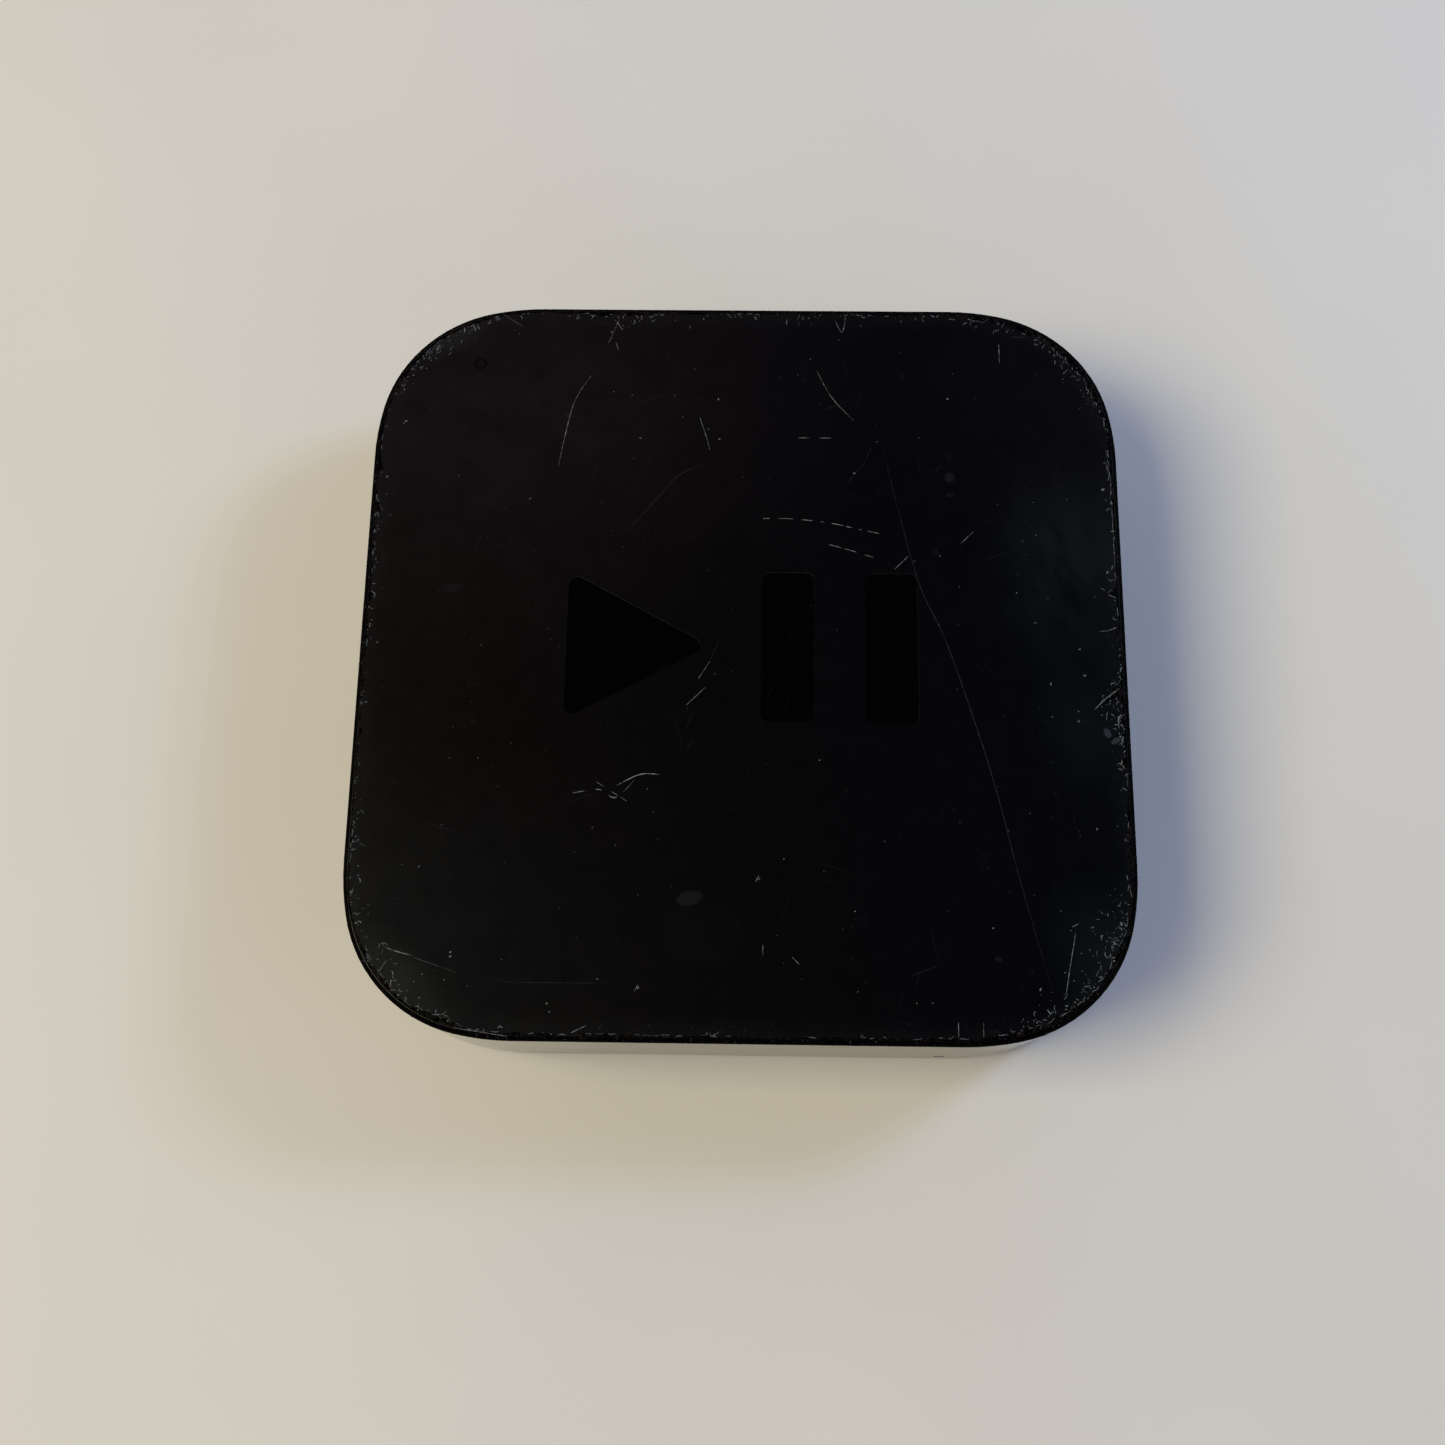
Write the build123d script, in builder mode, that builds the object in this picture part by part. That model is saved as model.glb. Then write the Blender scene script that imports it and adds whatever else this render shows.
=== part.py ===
from build123d import *
import os
from math import cos, radians, sin

# Streaming media player: a flat square box with a row of sockets along its rear wall.
#
# Millimetres, +Z up. The origin is the centre of the footprint, on the surface the box stands on.
# The front wall faces -Y and the sockets face +Y. The power supply fills the +X side and the main
# board the -X side. Both hang from posts under the top of the case, and the bottom cover snaps in last.

# ------------------------------------------------------------ driving dimensions: case
WIDTH = 98.0  # side of the square plan
HEIGHT = 23.0  # top face above the table
CORNER_R = 18.4  # middle stretch of each plan corner
EASE_R = 33.2  # longer radius that leads into and out of each corner
EASE_ANGLE = 12.2  # degrees of each corner turned at the longer radius
WALL = 2.0
TOP_ROUND = 0.7  # polished round between the top face and the walls
LOWER_ROUND = 2.0
CASE_BOTTOM = 1.0
LIP_TOP = 2.6  # the lip that the cover's hooks catch on ends here
OPENING_INSET = 3.6  # edge of the bottom opening, in from the outer wall
CEILING = HEIGHT - WALL
CORNER_EXTENT = EASE_R * (1 + sin(radians(EASE_ANGLE)) - cos(radians(EASE_ANGLE))) + CORNER_R * (
    cos(radians(EASE_ANGLE)) - sin(radians(EASE_ANGLE))
)
FLAT = WIDTH / 2 - CORNER_EXTENT  # half the straight stretch of each side

MARK_DEPTH = 0.06  # polished play and pause mark, sunk in the textured top
MARK_HEIGHT = 20.0
MARK_Y = 1.0
PLAY_WIDTH = 18.5
BAR_WIDTH = 6.75
MARK_GAP = 6.5

# ------------------------------------------------------------ driving dimensions: cover and foot
COVER_BOTTOM = 0.8
COVER_INSET = OPENING_INSET + 0.15
FOOT_INSET = 9.0
FOOT_TOP = 1.2
BALLAST_INSET = 7.5
BALLAST_TOP = 3.8
PEG_RADIUS = 1.5
PEG_HEIGHT = 1.6
PEG_PITCH = 60.0
HOOK_OFFSET = 15.0  # hooks stand this far either side of the middle of each side
HOOK_WIDTH = 6.0
HOOK_TOP = 4.4
HOOK_ROOT, HOOK_FACE, HOOK_TIP = WIDTH / 2 - 5.1, WIDTH / 2 - 4.0, WIDTH / 2 - 3.0

# ------------------------------------------------------------ driving dimensions: boards and posts
BOARD_INSET = 5.0
BOARD_BOTTOM, BOARD_TOP = 9.6, 10.8
BOARD_EDGE_X = 16.0
BOARD_NOTCH_Y = 29.3
SUPPLY_BOTTOM, SUPPLY_TOP = 6.0, 7.6
SUPPLY_EDGE_X, SUPPLY_EDGE_Y = 17.8, 30.4
FRONT_EDGE_Y = -38.0
FILM_BOTTOM, FILM, FILM_TOP = 4.5, 0.4, 9.2
FILM_X = 16.5
POST_RADIUS = 2.3
PILOT_RADIUS = 1.0
SCREW_RADIUS = 0.97
SCREW_HEAD_RADIUS = 1.9
SCREW_HEAD = 1.0
SCREW_LENGTH = 6.0
BOARD_POSTS = [(-39, 12), (-39.5, -16), (-20, -34), (3, -34), (12.5, 27)]
SUPPLY_POSTS = [(20.6, 23.8), (38.2, -31.4)]

SPREADER_INSET = 7.5
SPREADER_BOTTOM, SPREADER_TOP = 19.2, 20.7
PEDESTAL = 16.0
PROCESSOR_PLACE = (-14, 4)
PROCESSOR_SIZE, PROCESSOR_HEIGHT = 14.0, 1.2
THERMAL_PAD = 0.8
CAN_PLACE = (-28, -22)
CAN_SIZE = (16.0, 14.0, 2.0)
CAN_SHEET = 0.2
CAN_HOLE_RADIUS = 0.5

# ------------------------------------------------------------ driving dimensions: main board
MEMORY_PLACE, MEMORY_SIZE = (-13, -12), (12.0, 10.0, 1.0)
FLASH_PLACE, FLASH_SIZE = (-30, 0), (12.0, 16.0, 1.0)
MANAGER_PLACE, MANAGER_SIZE = (2, 10), (7.0, 7.0, 0.9)
MODULE_SIZE, MODULE_CHIP = (14.0, 12.0, 0.6), (5.0, 5.0, 1.3)
ISOLATOR_PLACE, ISOLATOR_SIZE = (-27, 21), (12.7, 9.4, 5.4)
CRYSTAL_PLACE, CRYSTAL_SIZE = (-3, -6), (3.2, 2.5, 0.8)
INDUCTORS_PLACE, INDUCTOR_PITCH, INDUCTOR_SIZE = (7, -3), 6.0, (4.0, 4.0, 2.0)
SMALL_CAPACITOR, LARGE_CAPACITOR = (1.6, 0.8, 0.8), (1.2, 2.0, 1.2)
SMALL_CAPACITOR_GROUPS = [(-14, 14.5), (-14, -4.9)]
LARGE_CAPACITOR_GROUPS = [(2, 17), (-9, -28)]
COAX_SOCKETS = [(-38.5, -24.0), (-30.0, -32.4)]
COAX_RADIUS, COAX_HEIGHT = 1.3, 2.0

# ------------------------------------------------------------ driving dimensions: power supply
FUSE_PLACE, FUSE_Z = (30.5, 25.4), SUPPLY_TOP + 1.85
FUSE_RADIUS, FUSE_LENGTH = 1.6, 10.0
FUSE_CAP_RADIUS, FUSE_CAP_LENGTH = 1.8, 2.4
CHOKE_PLACE, CHOKE_RADIUS, CHOKE_COIL = (26.6, 14.4), 4.9, 2.1
LINE_CAPACITOR_PLACE, LINE_CAPACITOR_SIZE = (40.2, 25), (5.0, 9.0, 9.0)
RECTIFIER_PLACE, RECTIFIER_SIZE = (38.6, 16.6), (8.0, 6.0, 3.0)
HEAT_SINK_PLACE, HEAT_SINK_SIZE = (38.9, 9.7), (8.2, 1.0, 9.4)
HEAT_SINK_WING = 4.4
TRANSISTOR_SIZE = (6.0, 2.0, 7.0)
BULK_X, BULK_Y = (24.6, 36.4), -2.4
BULK_RADIUS, BULK_LENGTH = 4.8, 14.0
TRANSFORMER_PLACE = (32, -19.4)
CORE_SIZE, CORE_WINDOW, CORE_LEG = (20.0, 16.0, 6.0), (14.0, 3.0), 4.0
WINDING_LENGTH, WINDING_TALL = 13.6, 10.2
OUTPUT_X, OUTPUT_Y = (22.4, 29.6), -32.0
OUTPUT_RADIUS, OUTPUT_HEIGHT = 3.15, 10.0
LEAD_Y, LEAD_PITCH, LEAD_RADIUS = -20.0, 2.0, 0.6
SUPPLY_SOCKET_X, BOARD_SOCKET_X = 19.9, 12.8
SUPPLY_SOCKET_TOP, BOARD_SOCKET_TOP, LEAD_TOP = 12.0, 13.6, 16.6
LEAD_SOCKET = (2.6, 8.0)

# ------------------------------------------------------------ driving dimensions: sockets
PORT_FACE = 48.0  # front face of every rear socket
PORT_GAP = 0.3  # between a socket and the edge of its cut-out
CUT_FROM, CUT_TO = 50.0, 44.5  # the cut-outs reach from outside the rear wall to inside it

POWER_X, POWER_Z = 26.0, 12.0
POWER_WIDTH, POWER_TALL, POWER_DEPTH = 17.4, 9.8, 17.0
POWER_SOCKET_DEPTH = 12.5
LOBE_RADIUS = 3.6
PIN_PITCH = 8.6
PIN_RADIUS = 1.18

VIDEO_X, VIDEO_Z = 8.0, 13.55
VIDEO_WIDTH, VIDEO_TALL, VIDEO_DEPTH = 14.0, 4.55, 11.0
VIDEO_SHEET = 0.35
VIDEO_TONGUE = (11.6, 1.2)
VIDEO_TONGUE_FRONT = 45.6

SERVICE_X, SERVICE_Z = 8.0, 7.7
SERVICE_WIDTH, SERVICE_TALL, SERVICE_DEPTH = 7.5, 2.5, 5.6
SERVICE_SHEET = 0.3
SERVICE_TONGUE = (3.7, 0.6)

OPTICAL_X = -8.0
OPTICAL_WIDTH = 10.8
OPTICAL_BOTTOM, OPTICAL_TOP = 5.3, 17.5
OPTICAL_REAR = 32.5
OPTICAL_MOUTH = 8.2
OPTICAL_MOUTH_BOTTOM = 6.7
OPTICAL_CLIP = 1.4  # clipped corners that key the plug
CHAMBER_BOTTOM, CHAMBER_TOP, CHAMBER_REAR = 6.2, 16.7, 35.2
EMITTER_Z = 10.8
HINGE_Y, HINGE_Z = 45.9, 15.7
SHUTTER_WIDTH, SHUTTER_LENGTH, SHUTTER_THICK = 8.8, 9.3, 0.8
BARREL_RADIUS = 0.8
HINGE_PIN_RADIUS = 0.4
SPRING_GAP = 2.4  # break in the middle of the barrel, where the spring sits
SPRING_RADIUS, SPRING_WIRE = 0.65, 0.15
SPRING_PITCH, SPRING_TURNS = 0.42, 4.25

NETWORK_X, NETWORK_Z = -25.0, 11.5
NETWORK_WIDTH, NETWORK_TALL, NETWORK_DEPTH = 15.9, 13.3, 18.0
NETWORK_SHEET = 0.25
PLUG_WIDTH, PLUG_TALL, PLUG_DEPTH = 11.8, 6.9, 14.0
PLUG_TOP = NETWORK_Z + 4.2
LATCH_WIDTH, LATCH_TALL = 6.2, 1.0
CONTACT_PITCH = 1.02

# ------------------------------------------------------------ driving dimensions: front board
FRONT_BOARD_REAR, FRONT_BOARD_FRONT = -43.6, -44.6
FRONT_BOARD_X = (6.7, 32.3)
FRONT_BOARD_Z = (5.4, 12.6)
GUIDE_BOTTOM = 5.2
LIGHT_X, LIGHT_Z = 26.0, 6.6
LIGHT_RADIUS = 0.7
RECEIVER_X, RECEIVER_Z = 18.0, 8.6
RECEIVER_SIZE, RECEIVER_LENS = (5.0, 1.4, 4.4), 1.1
RIBBON_X, RIBBON_WIDTH, RIBBON_THICK = 11.5, 5.0, 0.16
RIBBON_START = (-42.2, 9.0)  # rear of the socket on the front board
RIBBON_END = (-36.8, 11.4)  # front of the socket on the main board

# ------------------------------------------------------------ driving dimensions: antennas
ANTENNA_FACE = 46.6
ANTENNA_BACK = 45.4
ANTENNA_Z = (6.0, 16.0)
SIDE_ANTENNA_LENGTH = 30.0
FRONT_ANTENNA_X, FRONT_ANTENNA_LENGTH = -12.0, 26.0
SLOT_Z, SLOT_TALL = 12.0, 1.6
COAX_LEAD_Z, COAX_LEAD_RADIUS = 12.2, 0.55

ON_TOP = (Align.CENTER, Align.CENTER, Align.MIN)
HANGING = (Align.CENTER, Align.CENTER, Align.MAX)


def plan(inset):
    """The square plan with eased corners, drawn this far inside the outer wall."""
    with BuildSketch() as sketch:
        with BuildLine():
            start, heading = Vector(WIDTH / 2 - inset, FLAT), Vector(0, 1)
            for _ in range(4):
                lead = JernArc(start, heading, EASE_R - inset, EASE_ANGLE)
                turn = JernArc(lead @ 1, lead % 1, CORNER_R - inset, 90 - 2 * EASE_ANGLE)
                trail = JernArc(turn @ 1, turn % 1, EASE_R - inset, EASE_ANGLE)
                side = Line(trail @ 1, (trail @ 1) + (trail % 1) * 2 * FLAT)
                start, heading = side @ 1, side % 1
        make_face()
    return sketch.sketch


def plan_between(inset, low, high):
    """The part of the plan inside the rectangle from low to high."""
    with BuildSketch() as sketch:
        add(plan(inset))
        with Locations(((low[0] + high[0]) / 2, (low[1] + high[1]) / 2)):
            Rectangle(high[0] - low[0], high[1] - low[1], mode=Mode.INTERSECT)
    return sketch.sketch


def rear(y):
    """A plane at this depth whose normal points forward: local x is +X and local y is +Z."""
    return Plane.XZ.offset(-y)


def along_y(x, y, z):
    return Location((x, y, z), (90, 0, 0))


def along_x(x, y, z):
    return Location((x, y, z), (0, 90, 0))


def power_outline(margin=0.0):
    with BuildSketch() as sketch:
        RectangleRounded(POWER_WIDTH + 2 * margin, POWER_TALL + 2 * margin, 3.4 + margin)
    return sketch.sketch


def video_outline(margin=0.0):
    """Wide at the top, with stepped and slanted lower corners, grown by a margin."""
    half, tall = VIDEO_WIDTH / 2, VIDEO_TALL / 2
    right = [(half, tall), (half, -0.6), (half - 0.9, -1.2), (half - 2.1, -tall)]
    left = [(-x, y) for x, y in reversed(right)]
    with BuildSketch() as sketch:
        with BuildLine():
            Polyline(*right, *left, close=True)
        make_face()
        if margin:
            offset(amount=margin, kind=Kind.INTERSECTION)
    return sketch.sketch


def service_outline(margin=0.0):
    """A low opening with two slanted lower corners, grown by a margin."""
    half, tall = SERVICE_WIDTH / 2, SERVICE_TALL / 2
    right = [(half, tall), (half, -0.1), (half - 1.1, -tall)]
    left = [(-x, y) for x, y in reversed(right)]
    with BuildSketch() as sketch:
        with BuildLine():
            Polyline(*right, *left, close=True)
        make_face()
        if margin:
            offset(amount=margin, kind=Kind.INTERSECTION)
    return sketch.sketch


def optical_mouth():
    """A square opening that stands on its lower edge, with the two upper corners clipped."""
    half, top = OPTICAL_MOUTH / 2, OPTICAL_MOUTH
    right = [(half, 0), (half, top - OPTICAL_CLIP), (half - OPTICAL_CLIP, top)]
    left = [(-x, y) for x, y in reversed(right)]
    with BuildSketch() as sketch:
        with BuildLine():
            Polyline(*right, *left, close=True)
        make_face()
    return sketch.sketch


# ============================================================ upper case
with BuildPart() as upper_case:
    with BuildSketch(Plane.XY.offset(CASE_BOTTOM)):
        add(plan(0))
    extrude(amount=HEIGHT - CASE_BOTTOM)
    fillet(upper_case.edges().group_by(Axis.Z)[-1], radius=TOP_ROUND)
    fillet(upper_case.edges().group_by(Axis.Z)[0], radius=LOWER_ROUND)
    with BuildSketch(Plane.XY.offset(LIP_TOP)):
        add(plan(WALL))
    extrude(amount=CEILING - LIP_TOP, mode=Mode.SUBTRACT)
    with BuildSketch(Plane.XY.offset(CASE_BOTTOM)):
        add(plan(OPENING_INSET))
    extrude(amount=LIP_TOP - CASE_BOTTOM, mode=Mode.SUBTRACT)

    # screw posts for the two boards, with blind pilot holes
    for places, foot in ((BOARD_POSTS, BOARD_TOP), (SUPPLY_POSTS, SUPPLY_TOP)):
        with Locations(*[(x, y, CEILING) for x, y in places]):
            Cylinder(POST_RADIUS, CEILING - foot, align=HANGING)
        with Locations(*[(x, y, foot) for x, y in places]):
            Cylinder(PILOT_RADIUS, SCREW_LENGTH + 0.8, align=ON_TOP, mode=Mode.SUBTRACT)

    # slotted guides that hold the front board by its ends
    for edge, outward in zip(FRONT_BOARD_X, (-1, 1)):
        with Locations((edge + outward * 0.3, -WIDTH / 2 + WALL, GUIDE_BOTTOM)):
            Box(2.0, 4.6, CEILING - GUIDE_BOTTOM, align=(Align.CENTER, Align.MIN, Align.MIN))
        with Locations((edge - outward * 0.3, (FRONT_BOARD_REAR + FRONT_BOARD_FRONT) / 2, GUIDE_BOTTOM)):
            Box(0.8, 1.2, 7.6, align=ON_TOP, mode=Mode.SUBTRACT)

    # cut-outs for the five sockets
    with BuildSketch(rear(CUT_FROM)):
        with Locations((POWER_X, POWER_Z)):
            add(power_outline(PORT_GAP))
        with Locations((VIDEO_X, VIDEO_Z)):
            add(video_outline(VIDEO_SHEET + PORT_GAP))
        with Locations((SERVICE_X, SERVICE_Z)):
            add(service_outline(SERVICE_SHEET + PORT_GAP))
        with Locations((OPTICAL_X, (OPTICAL_BOTTOM + OPTICAL_TOP) / 2)):
            RectangleRounded(OPTICAL_WIDTH + 2 * PORT_GAP, OPTICAL_TOP - OPTICAL_BOTTOM + 2 * PORT_GAP, 0.6)
        with Locations((NETWORK_X, NETWORK_Z)):
            RectangleRounded(NETWORK_WIDTH + 2 * PORT_GAP, NETWORK_TALL + 2 * PORT_GAP, 0.6)
    extrude(amount=CUT_FROM - CUT_TO, mode=Mode.SUBTRACT)

    # hole for the status light, through the front wall
    with Locations(along_y(LIGHT_X, -WIDTH / 2, LIGHT_Z)):
        Cylinder(LIGHT_RADIUS + 0.05, 3 * WALL, mode=Mode.SUBTRACT)

    # play and pause mark: a triangle and two bars
    mark_left = -(PLAY_WIDTH + 2 * MARK_GAP + 2 * BAR_WIDTH) / 2
    with BuildSketch(Plane.XY.offset(HEIGHT)) as mark:
        with BuildLine():
            Polyline(
                (mark_left, MARK_Y - MARK_HEIGHT / 2),
                (mark_left + PLAY_WIDTH, MARK_Y),
                (mark_left, MARK_Y + MARK_HEIGHT / 2),
                close=True,
            )
        make_face()
        fillet(mark.vertices(), radius=1.2)
        for bar in (0, 1):
            bar_x = mark_left + PLAY_WIDTH + MARK_GAP + BAR_WIDTH / 2 + bar * (BAR_WIDTH + MARK_GAP)
            with Locations((bar_x, MARK_Y)):
                RectangleRounded(BAR_WIDTH, MARK_HEIGHT, 1.0)
    extrude(amount=-MARK_DEPTH, mode=Mode.SUBTRACT)

# ============================================================ bottom cover, foot and ballast
with BuildPart() as bottom_cover:
    with BuildSketch(Plane.XY.offset(COVER_BOTTOM)):
        add(plan(COVER_INSET))
    extrude(amount=LIP_TOP - COVER_BOTTOM)
    fillet(bottom_cover.edges().group_by(Axis.Z)[0], radius=0.5)
    with BuildSketch(Plane.XY.offset(COVER_BOTTOM)):
        add(plan(FOOT_INSET - 0.1))
    extrude(amount=FOOT_TOP - COVER_BOTTOM, mode=Mode.SUBTRACT)
    # pegs that the ballast plate is staked on
    with Locations((0, 0, LIP_TOP)):
        with GridLocations(PEG_PITCH, PEG_PITCH, 2, 2):
            Cylinder(PEG_RADIUS, PEG_HEIGHT, align=ON_TOP)
    # snap hooks, two to a side, that catch on the lip of the upper case
    for quarter in range(4):
        outward = Vector(1, 0, 0).rotate(Axis.Z, 90 * quarter)
        sideways = Vector(0, 1, 0).rotate(Axis.Z, 90 * quarter)
        for place in (-HOOK_OFFSET, HOOK_OFFSET):
            with BuildSketch(Plane(sideways * place, x_dir=outward, z_dir=-sideways)):
                with BuildLine():
                    Polyline(
                        (HOOK_ROOT, LIP_TOP), (HOOK_FACE, LIP_TOP), (HOOK_FACE, LIP_TOP + 0.15),
                        (HOOK_TIP, LIP_TOP + 0.15), (HOOK_TIP, LIP_TOP + 0.4), (HOOK_FACE, HOOK_TOP),
                        (HOOK_ROOT, HOOK_TOP), close=True,
                    )
                make_face()
            extrude(amount=HOOK_WIDTH / 2, both=True)

with BuildPart() as rubber_foot:
    with BuildSketch():
        add(plan(FOOT_INSET))
    extrude(amount=FOOT_TOP)
    fillet(rubber_foot.edges().group_by(Axis.Z)[0], radius=0.5)

with BuildPart() as ballast_plate:
    with BuildSketch(Plane.XY.offset(LIP_TOP)):
        add(plan(BALLAST_INSET))
        with GridLocations(PEG_PITCH, PEG_PITCH, 2, 2):
            Circle(PEG_RADIUS + 0.1, mode=Mode.SUBTRACT)
    extrude(amount=BALLAST_TOP - LIP_TOP)

# ============================================================ heat spreader
with BuildPart() as heat_spreader:
    with BuildSketch(Plane.XY.offset(SPREADER_BOTTOM)):
        add(plan(SPREADER_INSET))
        with Locations(*BOARD_POSTS, *SUPPLY_POSTS):
            Circle(POST_RADIUS + 0.5, mode=Mode.SUBTRACT)
    extrude(amount=SPREADER_TOP - SPREADER_BOTTOM)
    with BuildSketch(Plane.XY.offset(SPREADER_BOTTOM)):
        with Locations(PROCESSOR_PLACE):
            RectangleRounded(PEDESTAL, PEDESTAL, 2.0)
    extrude(amount=-(SPREADER_BOTTOM - BOARD_TOP - PROCESSOR_HEIGHT - THERMAL_PAD))

with BuildPart() as spreader_tape:
    with BuildSketch(Plane.XY.offset(SPREADER_TOP)):
        add(plan(SPREADER_INSET + 2))
        with Locations(*BOARD_POSTS, *SUPPLY_POSTS):
            Circle(POST_RADIUS + 1.5, mode=Mode.SUBTRACT)
    extrude(amount=CEILING - SPREADER_TOP)

with BuildPart() as thermal_pad:
    with Locations((*PROCESSOR_PLACE, BOARD_TOP + PROCESSOR_HEIGHT)):
        Box(PROCESSOR_SIZE - 1, PROCESSOR_SIZE - 1, THERMAL_PAD, align=ON_TOP)

# ============================================================ main board and what is soldered to it
with BuildPart() as main_board:
    with BuildSketch(Plane.XY.offset(BOARD_BOTTOM)):
        add(plan_between(BOARD_INSET, (-WIDTH / 2, FRONT_EDGE_Y), (BOARD_EDGE_X, WIDTH / 2)))
        # notch for the network and optical sockets, which are too tall to stand on the board
        notch_left = NETWORK_X - NETWORK_WIDTH / 2 - 0.4
        with Locations((notch_left, BOARD_NOTCH_Y)):
            Rectangle(
                OPTICAL_X + OPTICAL_WIDTH / 2 + 0.6 - notch_left, 20,
                align=(Align.MIN, Align.MIN), mode=Mode.SUBTRACT,
            )
        with Locations(*BOARD_POSTS):
            Circle(SCREW_RADIUS + 0.23, mode=Mode.SUBTRACT)
    extrude(amount=BOARD_TOP - BOARD_BOTTOM)

with BuildPart() as processor:
    with Locations((*PROCESSOR_PLACE, BOARD_TOP)):
        Box(PROCESSOR_SIZE, PROCESSOR_SIZE, 0.5, align=ON_TOP)
        Box(PROCESSOR_SIZE - 1.6, PROCESSOR_SIZE - 1.6, PROCESSOR_HEIGHT, align=ON_TOP)

with BuildPart() as memory_chip:
    with Locations((*MEMORY_PLACE, BOARD_TOP)):
        Box(*MEMORY_SIZE, align=ON_TOP)
    chamfer(memory_chip.edges().group_by(Axis.Z)[-1], length=0.15)

with BuildPart() as flash_chip:
    with Locations((*FLASH_PLACE, BOARD_TOP)):
        Box(*FLASH_SIZE, align=ON_TOP)
    chamfer(flash_chip.edges().group_by(Axis.Z)[-1], length=0.15)

with BuildPart() as power_manager_chip:
    with Locations((*MANAGER_PLACE, BOARD_TOP)):
        Box(*MANAGER_SIZE, align=ON_TOP)
    chamfer(power_manager_chip.edges().group_by(Axis.Z)[-1], length=0.1)

with BuildPart() as wireless_module:
    with Locations((*CAN_PLACE, BOARD_TOP)):
        Box(*MODULE_SIZE, align=ON_TOP)
        with GridLocations(MODULE_SIZE[0] / 2, 0, 2, 1):
            Box(*MODULE_CHIP, align=ON_TOP)

with BuildPart() as shield_can:
    with Locations((*CAN_PLACE, BOARD_TOP)):
        Box(*CAN_SIZE, align=ON_TOP)
    fillet(shield_can.edges().group_by(Axis.Z)[-1], radius=0.4)
    with Locations((*CAN_PLACE, BOARD_TOP)):
        can_inner = [size - 2 * CAN_SHEET for size in CAN_SIZE[:2]]
        Box(*can_inner, CAN_SIZE[2] - CAN_SHEET, align=ON_TOP, mode=Mode.SUBTRACT)
        with GridLocations(3.2, 3.2, 4, 3):
            Cylinder(CAN_HOLE_RADIUS, CAN_SIZE[2], align=ON_TOP, mode=Mode.SUBTRACT)

with BuildPart() as network_transformer:
    with Locations((*ISOLATOR_PLACE, BOARD_TOP)):
        Box(*ISOLATOR_SIZE, align=ON_TOP)
    chamfer(network_transformer.edges().group_by(Axis.Z)[-1], length=0.4)

with BuildPart() as crystal:
    with Locations((*CRYSTAL_PLACE, BOARD_TOP)):
        Box(*CRYSTAL_SIZE, align=ON_TOP)
    fillet(crystal.edges().filter_by(Axis.Z), radius=0.3)

with BuildPart() as board_inductors:
    with Locations((*INDUCTORS_PLACE, BOARD_TOP)):
        with GridLocations(INDUCTOR_PITCH, INDUCTOR_PITCH, 2, 3):
            Box(*INDUCTOR_SIZE, align=ON_TOP)
    fillet(board_inductors.edges().filter_by(Axis.Z), radius=0.8)

with BuildPart() as board_capacitors:
    with Locations(*[(x, y, BOARD_TOP) for x, y in SMALL_CAPACITOR_GROUPS]):
        with GridLocations(1.5 * SMALL_CAPACITOR[0], 2 * SMALL_CAPACITOR[1], 6, 2):
            Box(*SMALL_CAPACITOR, align=ON_TOP)
    with Locations(*[(x, y, BOARD_TOP) for x, y in LARGE_CAPACITOR_GROUPS]):
        with GridLocations(LARGE_CAPACITOR[0] + 1.0, LARGE_CAPACITOR[1] + 0.4, 3, 2):
            Box(*LARGE_CAPACITOR, align=ON_TOP)

with BuildPart() as board_screws:
    with Locations(*[(x, y, BOARD_BOTTOM) for x, y in BOARD_POSTS]):
        Cylinder(SCREW_HEAD_RADIUS, SCREW_HEAD, align=HANGING)
        Cylinder(SCREW_RADIUS, SCREW_LENGTH, align=ON_TOP)
    with Locations(*[(x, y, BOARD_BOTTOM - SCREW_HEAD) for x, y in BOARD_POSTS]):
        Box(2.2, 0.45, 0.5, align=ON_TOP, mode=Mode.SUBTRACT)
        Box(0.45, 2.2, 0.5, align=ON_TOP, mode=Mode.SUBTRACT)

# ============================================================ power supply
with BuildPart() as supply_board:
    with BuildSketch(Plane.XY.offset(SUPPLY_BOTTOM)):
        add(plan_between(BOARD_INSET, (SUPPLY_EDGE_X, FRONT_EDGE_Y), (WIDTH / 2, SUPPLY_EDGE_Y)))
        with Locations(*SUPPLY_POSTS):
            Circle(SCREW_RADIUS + 0.23, mode=Mode.SUBTRACT)
    extrude(amount=SUPPLY_TOP - SUPPLY_BOTTOM)

with BuildPart() as supply_screws:
    with Locations(*[(x, y, SUPPLY_BOTTOM) for x, y in SUPPLY_POSTS]):
        Cylinder(SCREW_HEAD_RADIUS, SCREW_HEAD, align=HANGING)
        Cylinder(SCREW_RADIUS, SCREW_LENGTH, align=ON_TOP)
    with Locations(*[(x, y, SUPPLY_BOTTOM - SCREW_HEAD) for x, y in SUPPLY_POSTS]):
        Box(2.2, 0.45, 0.5, align=ON_TOP, mode=Mode.SUBTRACT)
        Box(0.45, 2.2, 0.5, align=ON_TOP, mode=Mode.SUBTRACT)

with BuildPart() as supply_film:
    with BuildSketch(Plane.XY.offset(FILM_BOTTOM)):
        add(plan_between(BOARD_INSET + 0.5, (FILM_X, FRONT_EDGE_Y + 1), (WIDTH / 2, SUPPLY_EDGE_Y - 0.6)))
    extrude(amount=FILM)
    # the edge folded up between the two boards
    with Locations((FILM_X, FRONT_EDGE_Y + 1, FILM_BOTTOM)):
        Box(FILM, 65, FILM_TOP - FILM_BOTTOM, align=(Align.MIN, Align.MIN, Align.MIN))

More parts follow.
